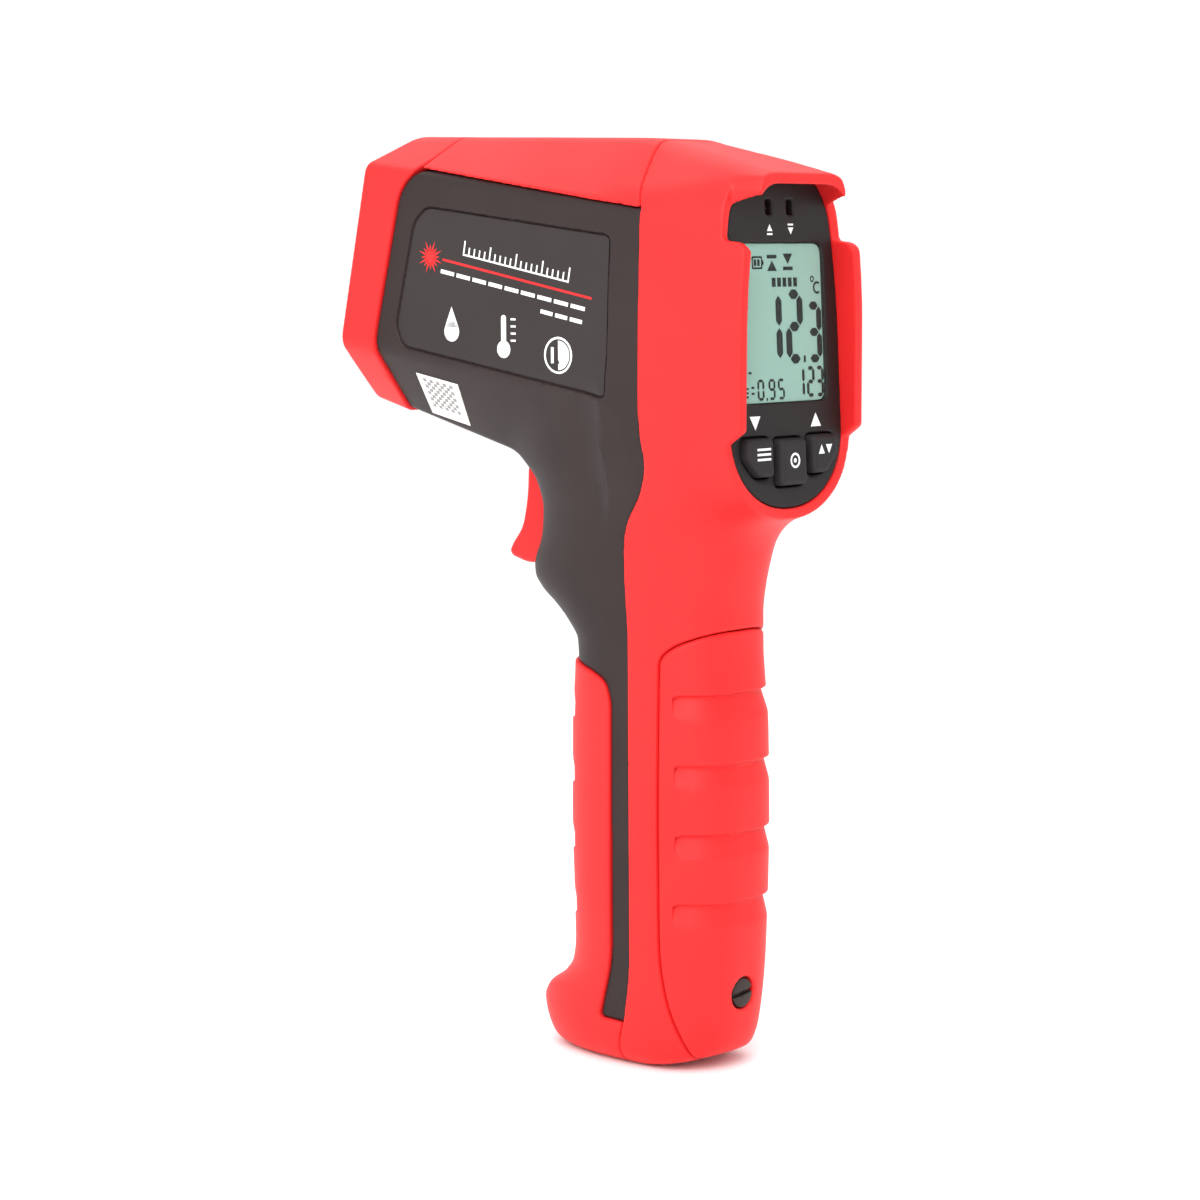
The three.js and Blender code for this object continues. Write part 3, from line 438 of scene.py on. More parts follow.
def make_material(name, finish):
    material = bpy.data.materials.new(name)
    material.use_nodes = True
    nodes, links = material.node_tree.nodes, material.node_tree.links
    shader = nodes["Principled BSDF"]
    shader.inputs["Metallic"].default_value = finish.metal
    shader.inputs["Alpha"].default_value = finish.alpha
    shader.inputs["Specular IOR Level"].default_value = finish.gloss
    place = nodes.new("ShaderNodeTexCoord").outputs["Object"]
    grain = grain_texture(nodes, links, place, finish)

    clouds = nodes.new("ShaderNodeTexNoise")
    clouds.inputs["Scale"].default_value = CLOUDS_PER_METRE
    clouds.inputs["Detail"].default_value = 3
    links.new(place, clouds.inputs["Vector"])
    blend = nodes.new("ShaderNodeMath")
    blend.operation = "MULTIPLY_ADD"
    blend.inputs[1].default_value = GRAIN_SHARE
    links.new(grain, blend.inputs[0])
    scaled = nodes.new("ShaderNodeMath")
    scaled.operation = "MULTIPLY"
    scaled.inputs[1].default_value = 1 - GRAIN_SHARE
    links.new(clouds.outputs["Fac"], scaled.inputs[0])
    links.new(scaled.outputs[0], blend.inputs[2])

    ramp = nodes.new("ShaderNodeValToRGB")
    ramp.color_ramp.elements[0].position = 0.3
    ramp.color_ramp.elements[0].color = (*finish.base, 1)
    ramp.color_ramp.elements[1].position = 0.75
    ramp.color_ramp.elements[1].color = (*finish.drift, 1)
    links.new(blend.outputs[0], ramp.inputs["Fac"])
    links.new(ramp.outputs["Color"], shader.inputs["Base Color"])

    rough = nodes.new("ShaderNodeMapRange")
    rough.inputs["To Min"].default_value, rough.inputs["To Max"].default_value = finish.rough
    links.new(blend.outputs[0], rough.inputs["Value"])
    links.new(rough.outputs["Result"], shader.inputs["Roughness"])

    bump = nodes.new("ShaderNodeBump")
    bump.inputs["Strength"].default_value = 1.0
    bump.inputs["Distance"].default_value = finish.depth * MM
    links.new(grain, bump.inputs["Height"])
    links.new(bump.outputs["Normal"], shader.inputs["Normal"])
    return material


materials = {name: make_material(name, finish) for name, finish in FINISHES.items()}


def paint(obj, name):
    obj.data.materials.clear()
    obj.data.materials.append(materials[name])


for part in frame["record"]["subparts"]:
    paint(frame["nodes"][part["node"]], part["material_slot"])


def stands_for(obj, slot, body_name, *nodes):
    """Makes a piece ride a body in place of CAD nodes, with the finish of a record slot."""
    paint(obj, slot)
    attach(obj, body_name)
    if nodes:
        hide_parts(*nodes)


def printed_on(obj, ink, body_name):
    """Makes a graphic ride the body that it is printed on."""
    paint(obj, ink)
    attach(obj, body_name)


# ---------------------------------------------------------------- red mouldings
def red(region, x, y, z):
    """A red moulding: the outer wall inside its seams."""
    solid = smax(body(x, y, z), outline(region, y, z) + GAP, EDGE)
    return smax(solid, -body(x, y, z, capped=False) - WALL, 0.6)


def front_bezel(x, y, z):
    return red(NOSE_REGION, x, y, z)


def top_cover(x, y, z):
    return red(TOP_REGION, x, y, z)


# Beside the hood and under the keys the guards are cut back almost to the fascia.
HOOD_NOTCH = [(33.3, 215), (34.4, 188.1), (38.8, 187.7), (45, 182.0), (60, 182.0), (60, 215)]
KEY_NOTCH = [(36.7, 144.2), (60, 160.9), (60, 100), (39.1, 100)]
HOOD_HALF = 15.0  # at its rear corners; it is narrower above and wider forward


def rear_shell(x, y, z):
    hood_side = HOOD_HALF - 0.45 * np.maximum(z - 199, 0) + 0.35 * (RIM - y)
    beside_hood = (hood_side - np.abs(x)) / 1.14
    hood_notch = smax(outline(rounded(HOOD_NOTCH, 1.2), y, z), beside_hood, 0.6)
    notches = np.minimum(hood_notch, outline(KEY_NOTCH, y, z))
    # The notch meets the inside of the wall at a sharp angle, so that edge is blunted.
    inside = -body(x, y, z, capped=False) - WALL
    return np.maximum(smax(red(REAR_REGION, x, y, z), -notches, 0.5), smax(inside, -notches, 1.3))


def grooved(solid, skin, x, run, depth, height, half):
    """A groove across the skin: deepest where run is 0, and gone where run reaches the height."""
    floor_depth = depth * (1 - run / height)
    groove = smax(np.abs(x) - half, np.maximum(-run, run - height), 1.0)
    return smax(solid, -smax(groove, -(skin + floor_depth), 0.6), 0.3)


# Shallow channels for the fingers: each has a sharp step at its lower edge and runs out upwards.
FINGER_STEPS = [78.5, 63.3, 47.9, 32.7]
FINGER_DEPTH, FINGER_HEIGHT, FINGER_HALF = 1.0, 5.6, 13.5


def front_grip(x, y, z):
    skin = body(x, y, z)
    solid = smax(skin, outline(GRIP_REGION, y, z) + GAP, EDGE)
    for step in FINGER_STEPS:
        up = z - step - 0.12 * (y + 20)
        solid = grooved(solid, skin, x, up, FINGER_DEPTH, FINGER_HEIGHT, FINGER_HALF)
    return np.maximum(solid, -skin - WALL)


# The cover's grooves for the palm are sharp at the top and run out downwards.
GROOVE_TOPS = [87.0 - 15.75 * i for i in range(4)]
GROOVE_DEPTH, GROOVE_HEIGHT, GROOVE_HALF = 1.4, 5.4, 15.4
COVER_SCREW_Z, COVER_SCREW_SEAT = 18.1, 22.1
COVER_BOSS, COUNTERBORE, COVER_HOLE = 5.6, 3.75, 1.85  # radii about the cover's screw
COVER_BOSS_END = 20.4


def bevelled(a, b, width):
    """Larger of two fields, with a flat bevel where they meet."""
    return np.maximum(np.maximum(a, b), (a + b + width) * math.sqrt(0.5))


def battery_cover(x, y, z):
    skin = body(x, y, z)
    solid = bevelled(skin, outline(COVER_REGION, y, z) + GAP, 0.75)
    for top in GROOVE_TOPS:
        solid = grooved(solid, skin, x, top - z, GROOVE_DEPTH, GROOVE_HEIGHT, GROOVE_HALF)
    solid = np.maximum(solid, -skin - WALL)
    from_axis = np.hypot(x, z - COVER_SCREW_Z)
    boss = np.maximum(from_axis - COVER_BOSS, np.maximum(COVER_BOSS_END - y, skin + 1))
    solid = np.minimum(solid, boss)
    counterbore = np.maximum(from_axis - COUNTERBORE, COVER_SCREW_SEAT - y)
    solid = smax(solid, -counterbore, 0.7)
    return np.maximum(solid, COVER_HOLE - from_axis)


bezel_skin = moulded("bezel_skin", front_bezel, (0, -81, 145), (30, -48, 214), VOXEL, True)
stands_for(bezel_skin, "red_plastic", "housing", "front_bezel")
top_skin = moulded("top_skin", top_cover, (0, -54, 193), (29, 13, 214), VOXEL, True)
stands_for(top_skin, "red_plastic", "housing", "top_cover")
rear_skin = moulded("rear_skin", rear_shell, (0, -5, -1.2), (29, 43, 214), VOXEL, True)
stands_for(rear_skin, "red_plastic", "housing", "rear_shell")
grip_skin = moulded("grip_skin", front_grip, (0, -34, -1.2), (20, 8, 96), VOXEL, True)
stands_for(grip_skin, "red_plastic", "housing", "front_grip")
cover_skin = moulded("cover_skin", battery_cover, (0, 7, -1.2), (20, 28, 104), VOXEL, True)
stands_for(cover_skin, "red_plastic", "battery_cover", "battery_cover")


# ---------------------------------------------------------------- charcoal housing halves
LABEL_OUTLINE = rounded(
    [(-53.2, 192.4), (-49.0, 196.0), (6.0, 189.4), (5.0, 153.2), (-56.9, 163.4), (-59.2, 168.6)], 2.0
)
TRIGGER_SLOT = [(-50, 110.6), (-18, 110.6), (-18, 145), (-36.6, 145), (-37.6, 138.8), (-50, 138.8)]
TRIGGER_HALF = 5.6
HOUSING_SCREWS = [(-38, 198.2), (9.7, 189.5), (-40, 154.5), (9.7, 158), (-8, 108)]
HEAD_SEAT = -10.5
SCREW_BOSS, SCREW_WELL = 4.2, 3.0  # radii
LABEL_RECESS = 1.65  # all depths of labels are below the red skin
LABEL_DEPTH, LABEL_BACK, STICKER_DEPTH = 1.25, 1.6, 0.75
HALVES_GAP = 0.08  # from each half to the middle plane


def dark(x, y, z):
    """Both charcoal halves as one wall, with the label recess and the trigger slot."""
    skin = body(x, y, z)
    solid = smax(skin + DARK_INSET, outline(DARK_REGION, y, z) + GAP, 0.35)
    solid = np.maximum(solid, -skin - DARK_INSET - DARK_WALL)
    recess = np.maximum(outline(LABEL_OUTLINE, y, z), -(skin + LABEL_RECESS))
    solid = smax(solid, -recess, 0.35)
    slot = smax(np.abs(x) - TRIGGER_HALF - 0.5, outline(TRIGGER_SLOT, y, z), 0.8)
    return smax(solid, -slot, 0.8)


def left_housing(x, y, z):
    return smax(dark(x, y, z), HALVES_GAP - x, 0.3)


def right_housing(x, y, z):
    solid = smax(dark(x, y, z), x + HALVES_GAP, 0.3)
    skin = body(x, y, z)
    for screw_y, screw_z in HOUSING_SCREWS:
        from_axis = np.hypot(y - screw_y, z - screw_z)
        boss = np.maximum(from_axis - SCREW_BOSS, np.maximum(skin + 1.9, x + 8.6))
        solid = np.minimum(solid, boss)
        well = np.maximum(from_axis - SCREW_WELL, x - HEAD_SEAT)
        solid = smax(solid, -well, 0.6)
    return solid


left_skin = moulded("left_skin", left_housing, (-1.2, -71, 9), (29, 17, 206), VOXEL)
stands_for(left_skin, "charcoal_plastic", "housing", "left_housing")
right_skin = moulded("right_skin", right_housing, (-29, -71, 9), (1.2, 17, 206), VOXEL)
stands_for(right_skin, "charcoal_plastic", "housing", "right_housing")


# ---------------------------------------------------------------- display face
def on_face(x, z, out):
    """Points of the leaning display face: x and z, and mm out of the fascia towards the user."""
    return np.stack([x, PANEL_Y + PANEL_LEAN * (z - PANEL_Z) + out, z], axis=-1)


def rect(x0, x1, z0, z1):
    return [(x0, z0), (x1, z0), (x1, z1), (x0, z1)]


WINDOW_HALF, WINDOW_LOW, WINDOW_HIGH = 15, 152.6, 187.6
WINDOW_OUTLINE = rounded(rect(-WINDOW_HALF, WINDOW_HALF, WINDOW_LOW, WINDOW_HIGH), 2.6)
KEYS = {
    "down_key": {"x": 11.5, "z": 140.9, "half": 4.6, "rise": 4.3, "cut": 1},
    "set_key": {"x": 0, "z": 139.6, "half": 4.7, "rise": 5.2, "cut": 0},
    "up_key": {"x": -11.5, "z": 140.9, "half": 4.6, "rise": 4.3, "cut": -1},
}
LAMP_X = {"high_lamp": 3.7, "low_lamp": -3.7}
LAMP_HALF, LAMP_LOW, LAMP_HIGH = 1.1, 193.8, 197.0
KEY_CORNER, KEY_HEIGHT, KEY_HOLLOW = 4.2, 2.1, 0.2
KEY_FOOT = -1.3  # the lower end of a key, out of the fascia


def key_outline(key, grow):
    """The outer keys lose their lower outer corner, where the fascia turns round."""
    a, b, c = key["half"] + grow, key["rise"] + grow, KEY_CORNER
    corners = [(-a, b), (-a, -b), (a, -b), (a, b)]
    if key["cut"]:
        corners = [(-a, b), (-a, -b), (a - c, -b), (a, -b + c), (a, b)]
    side = -1 if key["cut"] < 0 else 1
    return rounded([(key["x"] + side * u, key["z"] + v) for u, v in corners], 1.2)


def lamp_outline(middle, grow, corner):
    outer = rect(middle - LAMP_HALF - grow, middle + LAMP_HALF + grow, LAMP_LOW - grow, LAMP_HIGH + grow)
    return rounded(outer, corner)


def face_depth(y, z):
    return fascia_depth(y, z) - PANEL_Y


def fascia(x, y, z):
    out = face_depth(y, z)
    edge = body(x, y, z, capped=False) + WALL + 0.03
    solid = smax(edge, out, 0.5)
    solid = np.maximum(solid, -2 - out)
    holes = [outline(WINDOW_OUTLINE, x, z)]
    holes += [outline(key_outline(key, 0.3), x, z) for key in KEYS.values()]
    holes += [outline(lamp_outline(middle, 0, 0.6), x, z) for middle in LAMP_X.values()]
    for hole in holes:
        solid = smax(solid, -hole, 0.5)
    return solid


def key_top(key, x, z):
    """Height of a key over the fascia, with a shallow hollow for the fingertip."""
    from_middle = np.hypot(x - key["x"], z - key["z"])
    return KEY_HEIGHT - KEY_HOLLOW * np.exp(-((from_middle / 3.4) ** 2))


def key_cap(key):
    """A rubber key: a raised block with a bevelled, very slightly hollow top."""

    def field(x, y, z):
        out = face_depth(y, z)
        side = outline(key_outline(key, 0), x, z)
        top = out - key_top(key, x, z)
        return np.maximum(smax(side + 0.12 * np.maximum(out, 0), top, 1.3), KEY_FOOT - out)

    return field


TRIGGER_OUTLINE = rounded(
    [
        (-36.4, 138.2), (-37.3, 135.4), (-37.6, 128.2), (-39.1, 121.2), (-42.3, 117.2), (-43.3, 115.3),
        (-42.6, 113.9), (-38.0, 112.6), (-34.5, 112.7), (-28.6, 114.2), (-26.0, 120.0), (-24.5, 130.0),
        (-23.4, 138.0), (-24.0, 143.6), (-30.6, 143.8),
    ],
    [3, 3, 4, 4, 2, 0.8, 0.8, 2, 2, 3, 4, 4, 4, 2, 2],
)
PIVOT_Y, PIVOT_Z = -27.5, 140.5


def trigger(x, y, z):
    solid = smax(np.abs(x) - TRIGGER_HALF, outline(TRIGGER_OUTLINE, y, z), 2.0)
    return np.maximum(solid, 1.65 - np.hypot(y - PIVOT_Y, z - PIVOT_Z))


fascia_skin = moulded("fascia_skin", fascia, (0, 29, 124), (25, 39, 212), FINE, True)
stands_for(fascia_skin, "black_plastic", "housing", "fascia")
for key_name, key in KEYS.items():
    low = (key["x"] - 6, 34, key["z"] - 7.5)
    high = (key["x"] + 6, 42, key["z"] + 7.5)
    cap = moulded(f"{key_name}_skin", key_cap(key), low, high, KEY_VOXEL)
    stands_for(cap, "key_rubber", key_name, key_name)
trigger_skin = moulded("trigger_skin", trigger, (0, -45, 111), (7, -22, 146), FINE, True)
stands_for(trigger_skin, "red_plastic", "trigger", "trigger")


# ---------------------------------------------------------------- turned and flat pieces
AIM = Vector((0, -math.cos(AIM_TILT), math.sin(AIM_TILT)))
NOSE_UP = Vector((0, math.sin(AIM_TILT), math.cos(AIM_TILT)))


def in_nose(depth, up=0, side=0):
    """A point behind the nose plane: mm deep, mm up along the plane, mm to the side."""
    return Vector((side, NOSE_Y, NOSE_Z)) - AIM * depth + NOSE_UP * up


def turned(name, profile, origin, axis, steps=96):
    """A solid of revolution from (radius, distance along the axis) points, given right round."""
    across_axis = axis.orthogonal().normalized()
    third = axis.cross(across_axis)
    points, rings = [], []
    for radius, along in profile:
        ring = []
        for i in range(steps if radius > 0 else 1):
            turn = 2 * math.pi * i / steps
            spoke = across_axis * math.cos(turn) + third * math.sin(turn)
            ring.append(len(points))
            points.append((origin + axis * along + spoke * radius) * MM)
        rings.append(ring)
    faces = []
    for ring, following in zip(rings, rings[1:] + rings[:1]):
        for i in range(steps):
            a, b = ring[i % len(ring)], ring[(i + 1) % len(ring)]
            c, d = following[(i + 1) % len(following)], following[i % len(following)]
            corners = list(dict.fromkeys([a, b, c, d]))
            if len(corners) > 2:
                faces.append(corners)
    obj = new_object(name, points, faces)
    tidy_mesh(obj, 35)
    return obj


def tidy_mesh(obj, crease_degrees):
    """Faces turned outwards, and edges sharper than the given angle kept crisp."""
    shape = bmesh.new()
    shape.from_mesh(obj.data)
    bmesh.ops.remove_doubles(shape, verts=shape.verts, dist=1e-7)
    bmesh.ops.recalc_face_normals(shape, faces=shape.faces)
    shape.to_mesh(obj.data)
    shape.free()
    obj.data.set_sharp_from_angle(angle=math.radians(crease_degrees))


def softened(profile, radius, steps=4):
    """A turned profile with its corners rounded, apart from those on the axis."""
    radii = [0 if r < 1e-6 else radius for r, _ in profile]
    return rounded(profile, radii, steps)


def plates(name, outlines, place, low, high, bevel=0.0):
    """Thin closed plates in one mesh: convex outlines in (u, v), raised from one height to another.

    place turns arrays of u, v and height, in mm, into an array of points.
    """
    rows, faces = [], []
    for points in outlines:
        levels = [(points, low), (points, high)]
        if bevel:
            levels = [(points, low), (points, high - bevel), (inset(points, bevel), high)]
        count, first = len(points), len(rows)
        for ring, height in levels:
            rows += [(u, v, height) for u, v in ring]
        for level in range(len(levels) - 1):
            for i in range(count):
                k = (i + 1) % count
                lower, upper = first + level * count, first + (level + 1) * count
                faces.append((lower + i, lower + k, upper + k, upper + i))
        last = first + (len(levels) - 1) * count
        faces.append(tuple(range(last, last + count)))
        faces.append(tuple(range(first + count - 1, first - 1, -1)))
    obj = new_object(name, place(*np.array(rows, float).T) * MM, faces)
    tidy_mesh(obj, 20)
    return obj


def inset(points, by):
    """A convex outline drawn in towards its middle."""
    middle = np.mean(points, axis=0)
    out = []
    for p in points:
        away = np.array(p) - middle
        length = np.linalg.norm(away)
        out.append(tuple(middle + away * (length - by) / length))
    return out


# ---------------------------------------------------------------- nose
LENS_TUBE, LASER_UP = 12.0, 21.0


def in_nose_depth(y, z):
    return (y - NOSE_Y - LEAN * (z - NOSE_Z)) * math.cos(AIM_TILT)


def in_nose_up(y, z):
    return (z - NOSE_Z) * math.cos(AIM_TILT) + (y - NOSE_Y) * math.sin(AIM_TILT)


def front_plate(x, y, z):
    """The black plate behind the lens ring, with a low step round each opening."""
    depth, up = in_nose_depth(y, z), in_nose_up(y, z)
    solid = np.maximum(body(x, y, z, capped=False) + WALL + 0.3, depth - 7.6)
    from_lens = np.hypot(x, up)
    from_laser = np.hypot(x, np.abs(up) - LASER_UP)
    collar = np.minimum(from_lens - 16.2, from_laser - 5.0)
    front = np.minimum(5.6 - depth, np.maximum(5.0 - depth, collar))
    solid = smax(solid, front, 0.5)
    holes = np.minimum(from_lens - LENS_TUBE - 0.3, from_laser - 3.0)
    return smax(solid, -holes, 0.5)


plate_skin = moulded("plate_skin", front_plate, (0, -80, 146), (27, -52, 212), FINE, True)
stands_for(plate_skin, "black_plastic", "housing", "front_plate")

ring_profile = [(8.6, 1.0), (9.6, 0.1), (10.6, 0.1), (11.0, 0.5), (11.8, 0.5), (12.2, 0.0), (13.4, 0.0)]
ring_profile += [(13.8, 0.5), (13.8, 2.3), (8.6, 2.3)]
ring = turned("ring_skin", softened(ring_profile, 0.25), in_nose(2.4), -AIM)
stands_for(ring, "black_plastic", "housing", "lens_ring")
lens_curve = [(9.2 * i / 12, 0.15 + 0.95 * (i / 12) ** 2) for i in range(13)]
lens_skin = turned("lens_skin", [*lens_curve, (9.2, 2.6), (0, 2.6)], in_nose(5), -AIM)
stands_for(lens_skin, "lens_glass", "housing", "lens")
for side, up in (("upper", LASER_UP), ("lower", -LASER_UP)):
    pane = softened([(0, 0.05), (2.2, 0.1), (2.7, 0.4), (2.7, 1.0), (0, 1.0)], 0.15)
    window = turned(f"{side}_window_skin", pane, in_nose(5.7, up), -AIM, 48)
    stands_for(window, "clear_plastic", "housing", f"{side}_laser_window")
    bezel = softened([(2.75, 0.3), (3.0, 0.0), (4.2, 0.0), (4.6, 0.5), (4.6, 0.65), (2.75, 0.65)], 0.12)
    rim = turned(f"{side}_laser_rim", bezel, in_nose(4.33, up), -AIM, 48)
    stands_for(rim, "steel", "housing")


# ---------------------------------------------------------------- screws
SLOT_DEPTH = 1.1


def screw_head(name, radius, rise, shank, length, origin, axis, slots):
    """A domed screw head with its shank. Each slot is a box, given by its turn about the axis."""
    spoke = Vector((1, 0, 0)) if abs(axis.x) < 0.5 else Vector((0, 1, 0))
    other = axis.cross(spoke)
    ends = [origin - axis * length, origin + axis * rise]
    beside = [(radius + 0.6) * (1 - abs(k)) + 0.5 for k in axis]
    low = [min(end[i] for end in ends) - beside[i] for i in range(3)]
    high = [max(end[i] for end in ends) + beside[i] for i in range(3)]
    slot_reach = radius + 1 if len(slots) == 1 else radius * 0.62

    def field(x, y, z):
        offset = [x - origin.x, y - origin.y, z - origin.z]
        along = sum(o * k for o, k in zip(offset, axis))
        u = sum(o * k for o, k in zip(offset, spoke))
        v = sum(o * k for o, k in zip(offset, other))
        from_axis = np.hypot(u, v)
        dome = along - rise + 0.02 * from_axis**2
        head = smax(smax(from_axis - radius, dome, 0.5), -along, 0.1)
        stem = np.maximum(from_axis - shank, np.maximum(along - 0.5, -length - along))
        solid = np.minimum(head, stem)
        for turn in slots:
            side = np.abs(v * math.cos(turn) - u * math.sin(turn)) - radius * 0.14
            end = np.abs(u * math.cos(turn) + v * math.sin(turn)) - slot_reach
            cut = np.maximum(np.maximum(side, end), rise - SLOT_DEPTH - along)
            solid = smax(solid, -cut, 0.15)
        return solid

    return moulded(name, field, low, high, SCREW_VOXEL)


seat = Vector((0, COVER_SCREW_SEAT + 0.15, COVER_SCREW_Z))
cover_screw = screw_head("cover_screw_skin", 3.45, 2.4, 1.5, 14.2, seat, Vector((0, 1, 0)), [0.12])
stands_for(cover_screw, "dark_steel", "battery_cover_screw", "battery_cover_screw")
for i, (screw_y, screw_z) in enumerate(HOUSING_SCREWS, 1):
    place = Vector((HEAD_SEAT - 0.15, screw_y, screw_z))
    turn = 0.35 * i
    cross = [turn, turn + math.pi / 2]
    screw = screw_head(f"housing_screw_skin_{i}", 2.7, 2.0, 1.25, 3, place, Vector((-1, 0, 0)), cross)
    stands_for(screw, "steel", "housing", f"housing_screw_{i}")


# ---------------------------------------------------------------- trigger spring
SPRING_FRONT, SPRING_BACK, SPRING_Z = -25.2, -12.1, 119.4
SPRING_RADIUS, SPRING_WIRE, SPRING_TURNS = 2.3, 0.35, 6.5


def coil(name, steps=30, sides=10):
    """A compression spring along Y, with its last turns at both ends wound close."""
    count = int(SPRING_TURNS * steps)
    points, faces = [], []
    for i in range(count + 1):
        turn = 2 * math.pi * i / steps
        t = smooth([(0, 0.0), (steps, 0.045), (count - steps, 0.955), (count, 1.0)], i)
        spoke = Vector((math.cos(turn), 0, math.sin(turn)))
        on_axis = Vector((0, SPRING_FRONT + (SPRING_BACK - SPRING_FRONT) * t, SPRING_Z))
        middle = on_axis + spoke * SPRING_RADIUS
        for k in range(sides):
            a = 2 * math.pi * k / sides
            aside = spoke * math.cos(a) + Vector((0, math.sin(a), 0))
            points.append((middle + aside * SPRING_WIRE) * MM)
    for i in range(count):
        for k in range(sides):
            following = (k + 1) % sides
            a, b = i * sides + k, i * sides + following
            faces.append((a, b, b + sides, a + sides))
    faces.append(tuple(range(sides)))
    faces.append(tuple(range(count * sides, (count + 1) * sides)))
    obj = new_object(name, points, faces)
    tidy_mesh(obj, 60)
    return obj


spring = coil("trigger_spring_skin")
stands_for(spring, "steel", "housing", "trigger_spring")
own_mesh(spring)


# ---------------------------------------------------------------- display glass and segments
# Places along the fascia's outward direction.
LCD_FRONT, GLASS_FRONT, LAMP_FRONT, PANEL_BACK = -0.75, -0.12, -1.5, -4.4


def window_pane(x, y, z):
    out = face_depth(y, z)
    edge = outline(WINDOW_OUTLINE, x, z) + 0.12
    return smax(np.maximum(edge, LCD_FRONT + 0.2 - out), out - GLASS_FRONT, 0.35)


window_skin = moulded("window_skin", window_pane, (0, 30, 150), (16.5, 37.5, 190), WINDOW_VOXEL, True)
stands_for(window_skin, "clear_plastic", "housing", "display_window")
panel_outline = inset(WINDOW_OUTLINE, 0.15)
lcd_skin = plates("lcd_skin", [panel_outline], on_face, PANEL_BACK, LCD_FRONT, 0.1)
stands_for(lcd_skin, "lcd", "housing", "lcd_panel")
for node, middle in LAMP_X.items():
    lamp = plates(f"{node}_skin", [lamp_outline(middle, -0.1, 0.5)], on_face, PANEL_BACK, LAMP_FRONT, 0.35)
    stands_for(lamp, "lamp_lens", "housing", node)

# The bars of a seven-segment digit, in a box one unit wide and two high.
BARS = {
    "top": [(0, 2), (1, 2)],
    "upper_left": [(0, 1), (0, 2)],
    "upper_right": [(1, 1), (1, 2)],
    "middle": [(0, 1), (1, 1)],
    "lower_left": [(0, 0), (0, 1)],
    "lower_right": [(1, 0), (1, 1)],
    "bottom": [(0, 0), (1, 0)],
}
DIGITS = {
    "0": ["top", "upper_left", "upper_right", "lower_left", "lower_right", "bottom"],
    "1": ["upper_right", "lower_right"],
    "2": ["top", "upper_right", "middle", "lower_left", "bottom"],
    "3": ["top", "upper_right", "middle", "lower_right", "bottom"],
    "5": ["top", "upper_left", "middle", "lower_right", "bottom"],
    "9": ["top", "upper_left", "upper_right", "middle", "lower_right", "bottom"],
}


def digit(figure, left, low, width, height, thick):
    """The bars of one figure on the display, where the reader's right is -X."""
    shapes = []
    for bar in DIGITS[figure]:
        (u0, v0), (u1, v1) = [(left - u * width, low + v * height / 2) for u, v in BARS[bar]]
        along = np.array([u1 - u0, v1 - v0])
        along = along / np.linalg.norm(along)
        aside = np.array([-along[1], along[0]]) * thick / 2
        a, b = np.array([u0, v0]) + along * 0.12 * thick, np.array([u1, v1]) - along * 0.12 * thick
        nose = along * thick / 2
        shapes.append([a, a + nose + aside, b - nose + aside, b, b - nose - aside, a + nose - aside])
    return shapes


def bar(u, v, width, height, turn=0.0):
    """A rectangle by its middle and size."""
    c, s = math.cos(turn), math.sin(turn)
    corners = rect(-width / 2, width / 2, -height / 2, height / 2)
    return [(u + c * p - s * q, v + s * p + c * q) for p, q in corners]


def disc(u, v, radius, steps=28):
    turns = [2 * math.pi * i / steps for i in range(steps)]
    return [(u + radius * math.cos(t), v + radius * math.sin(t)) for t in turns]


def ring_shapes(u, v, radius, thick, start=0.0, end=360.0, steps=24):
    """A ring or an arc of a ring as short four-sided pieces."""
    turns = [math.radians(start + (end - start) * i / steps) for i in range(steps + 1)]
    spokes = [(math.cos(t), math.sin(t)) for t in turns]
    near, far = radius - thick / 2, radius + thick / 2
    return [
        [(u + r * p, v + r * q) for r, (p, q) in ((near, a), (far, a), (far, b), (near, b))]
        for a, b in zip(spokes, spokes[1:])
    ]


def arrow(u, v, width, height):
    """A triangle pointing up, or down for a negative height."""
    return [(u - width / 2, v - height / 2), (u + width / 2, v - height / 2), (u, v + height / 2)]


reading = digit("1", 6.0, 162.1, 5.4, 14.2, 2.1) + digit("2", -2.8, 162.1, 4.1, 14.2, 2.1)
reading += [bar(-8.15, 162.0, 0.7, 1.5)] + digit("3", -10.0, 162.0, 3.7, 11.7, 1.8)
for figure, left in (("1", -5.4), ("2", -9.0), ("3", -12.3)):
    reading += digit(figure, left, 153.9, 2.0, 6.0, 0.85)
for figure, left in (("0", 8.7), ("9", 4.8), ("5", 1.5)):
    reading += digit(figure, left, 153.6, 1.75, 4.0, 0.62)
reading += [bar(5.75, 153.5, 0.5, 0.6), bar(10.6, 156.2, 1.0, 0.5), bar(10.6, 154.9, 1.0, 0.5)]
reading += [bar(12.8, 154.2 + 0.9 * i, 1.3, 0.4) for i in range(3)] + [bar(11.4, 159.4, 1.0, 0.5)]
# Unit: a degree ring and an open arc.
reading += ring_shapes(-11.7, 179.6, 0.55, 0.3) + ring_shapes(-13.4, 177.7, 1.15, 0.5, 230, 490)
# Highest and lowest reading: a triangle over a bar, and a triangle under one.
reading += [arrow(2.4, 182.6, 3.4, 2.3), bar(2.4, 184.6, 3.4, 0.8)]
reading += [arrow(-3.2, 184.1, 3.4, -2.3), bar(-3.2, 182.0, 3.4, 0.8)]
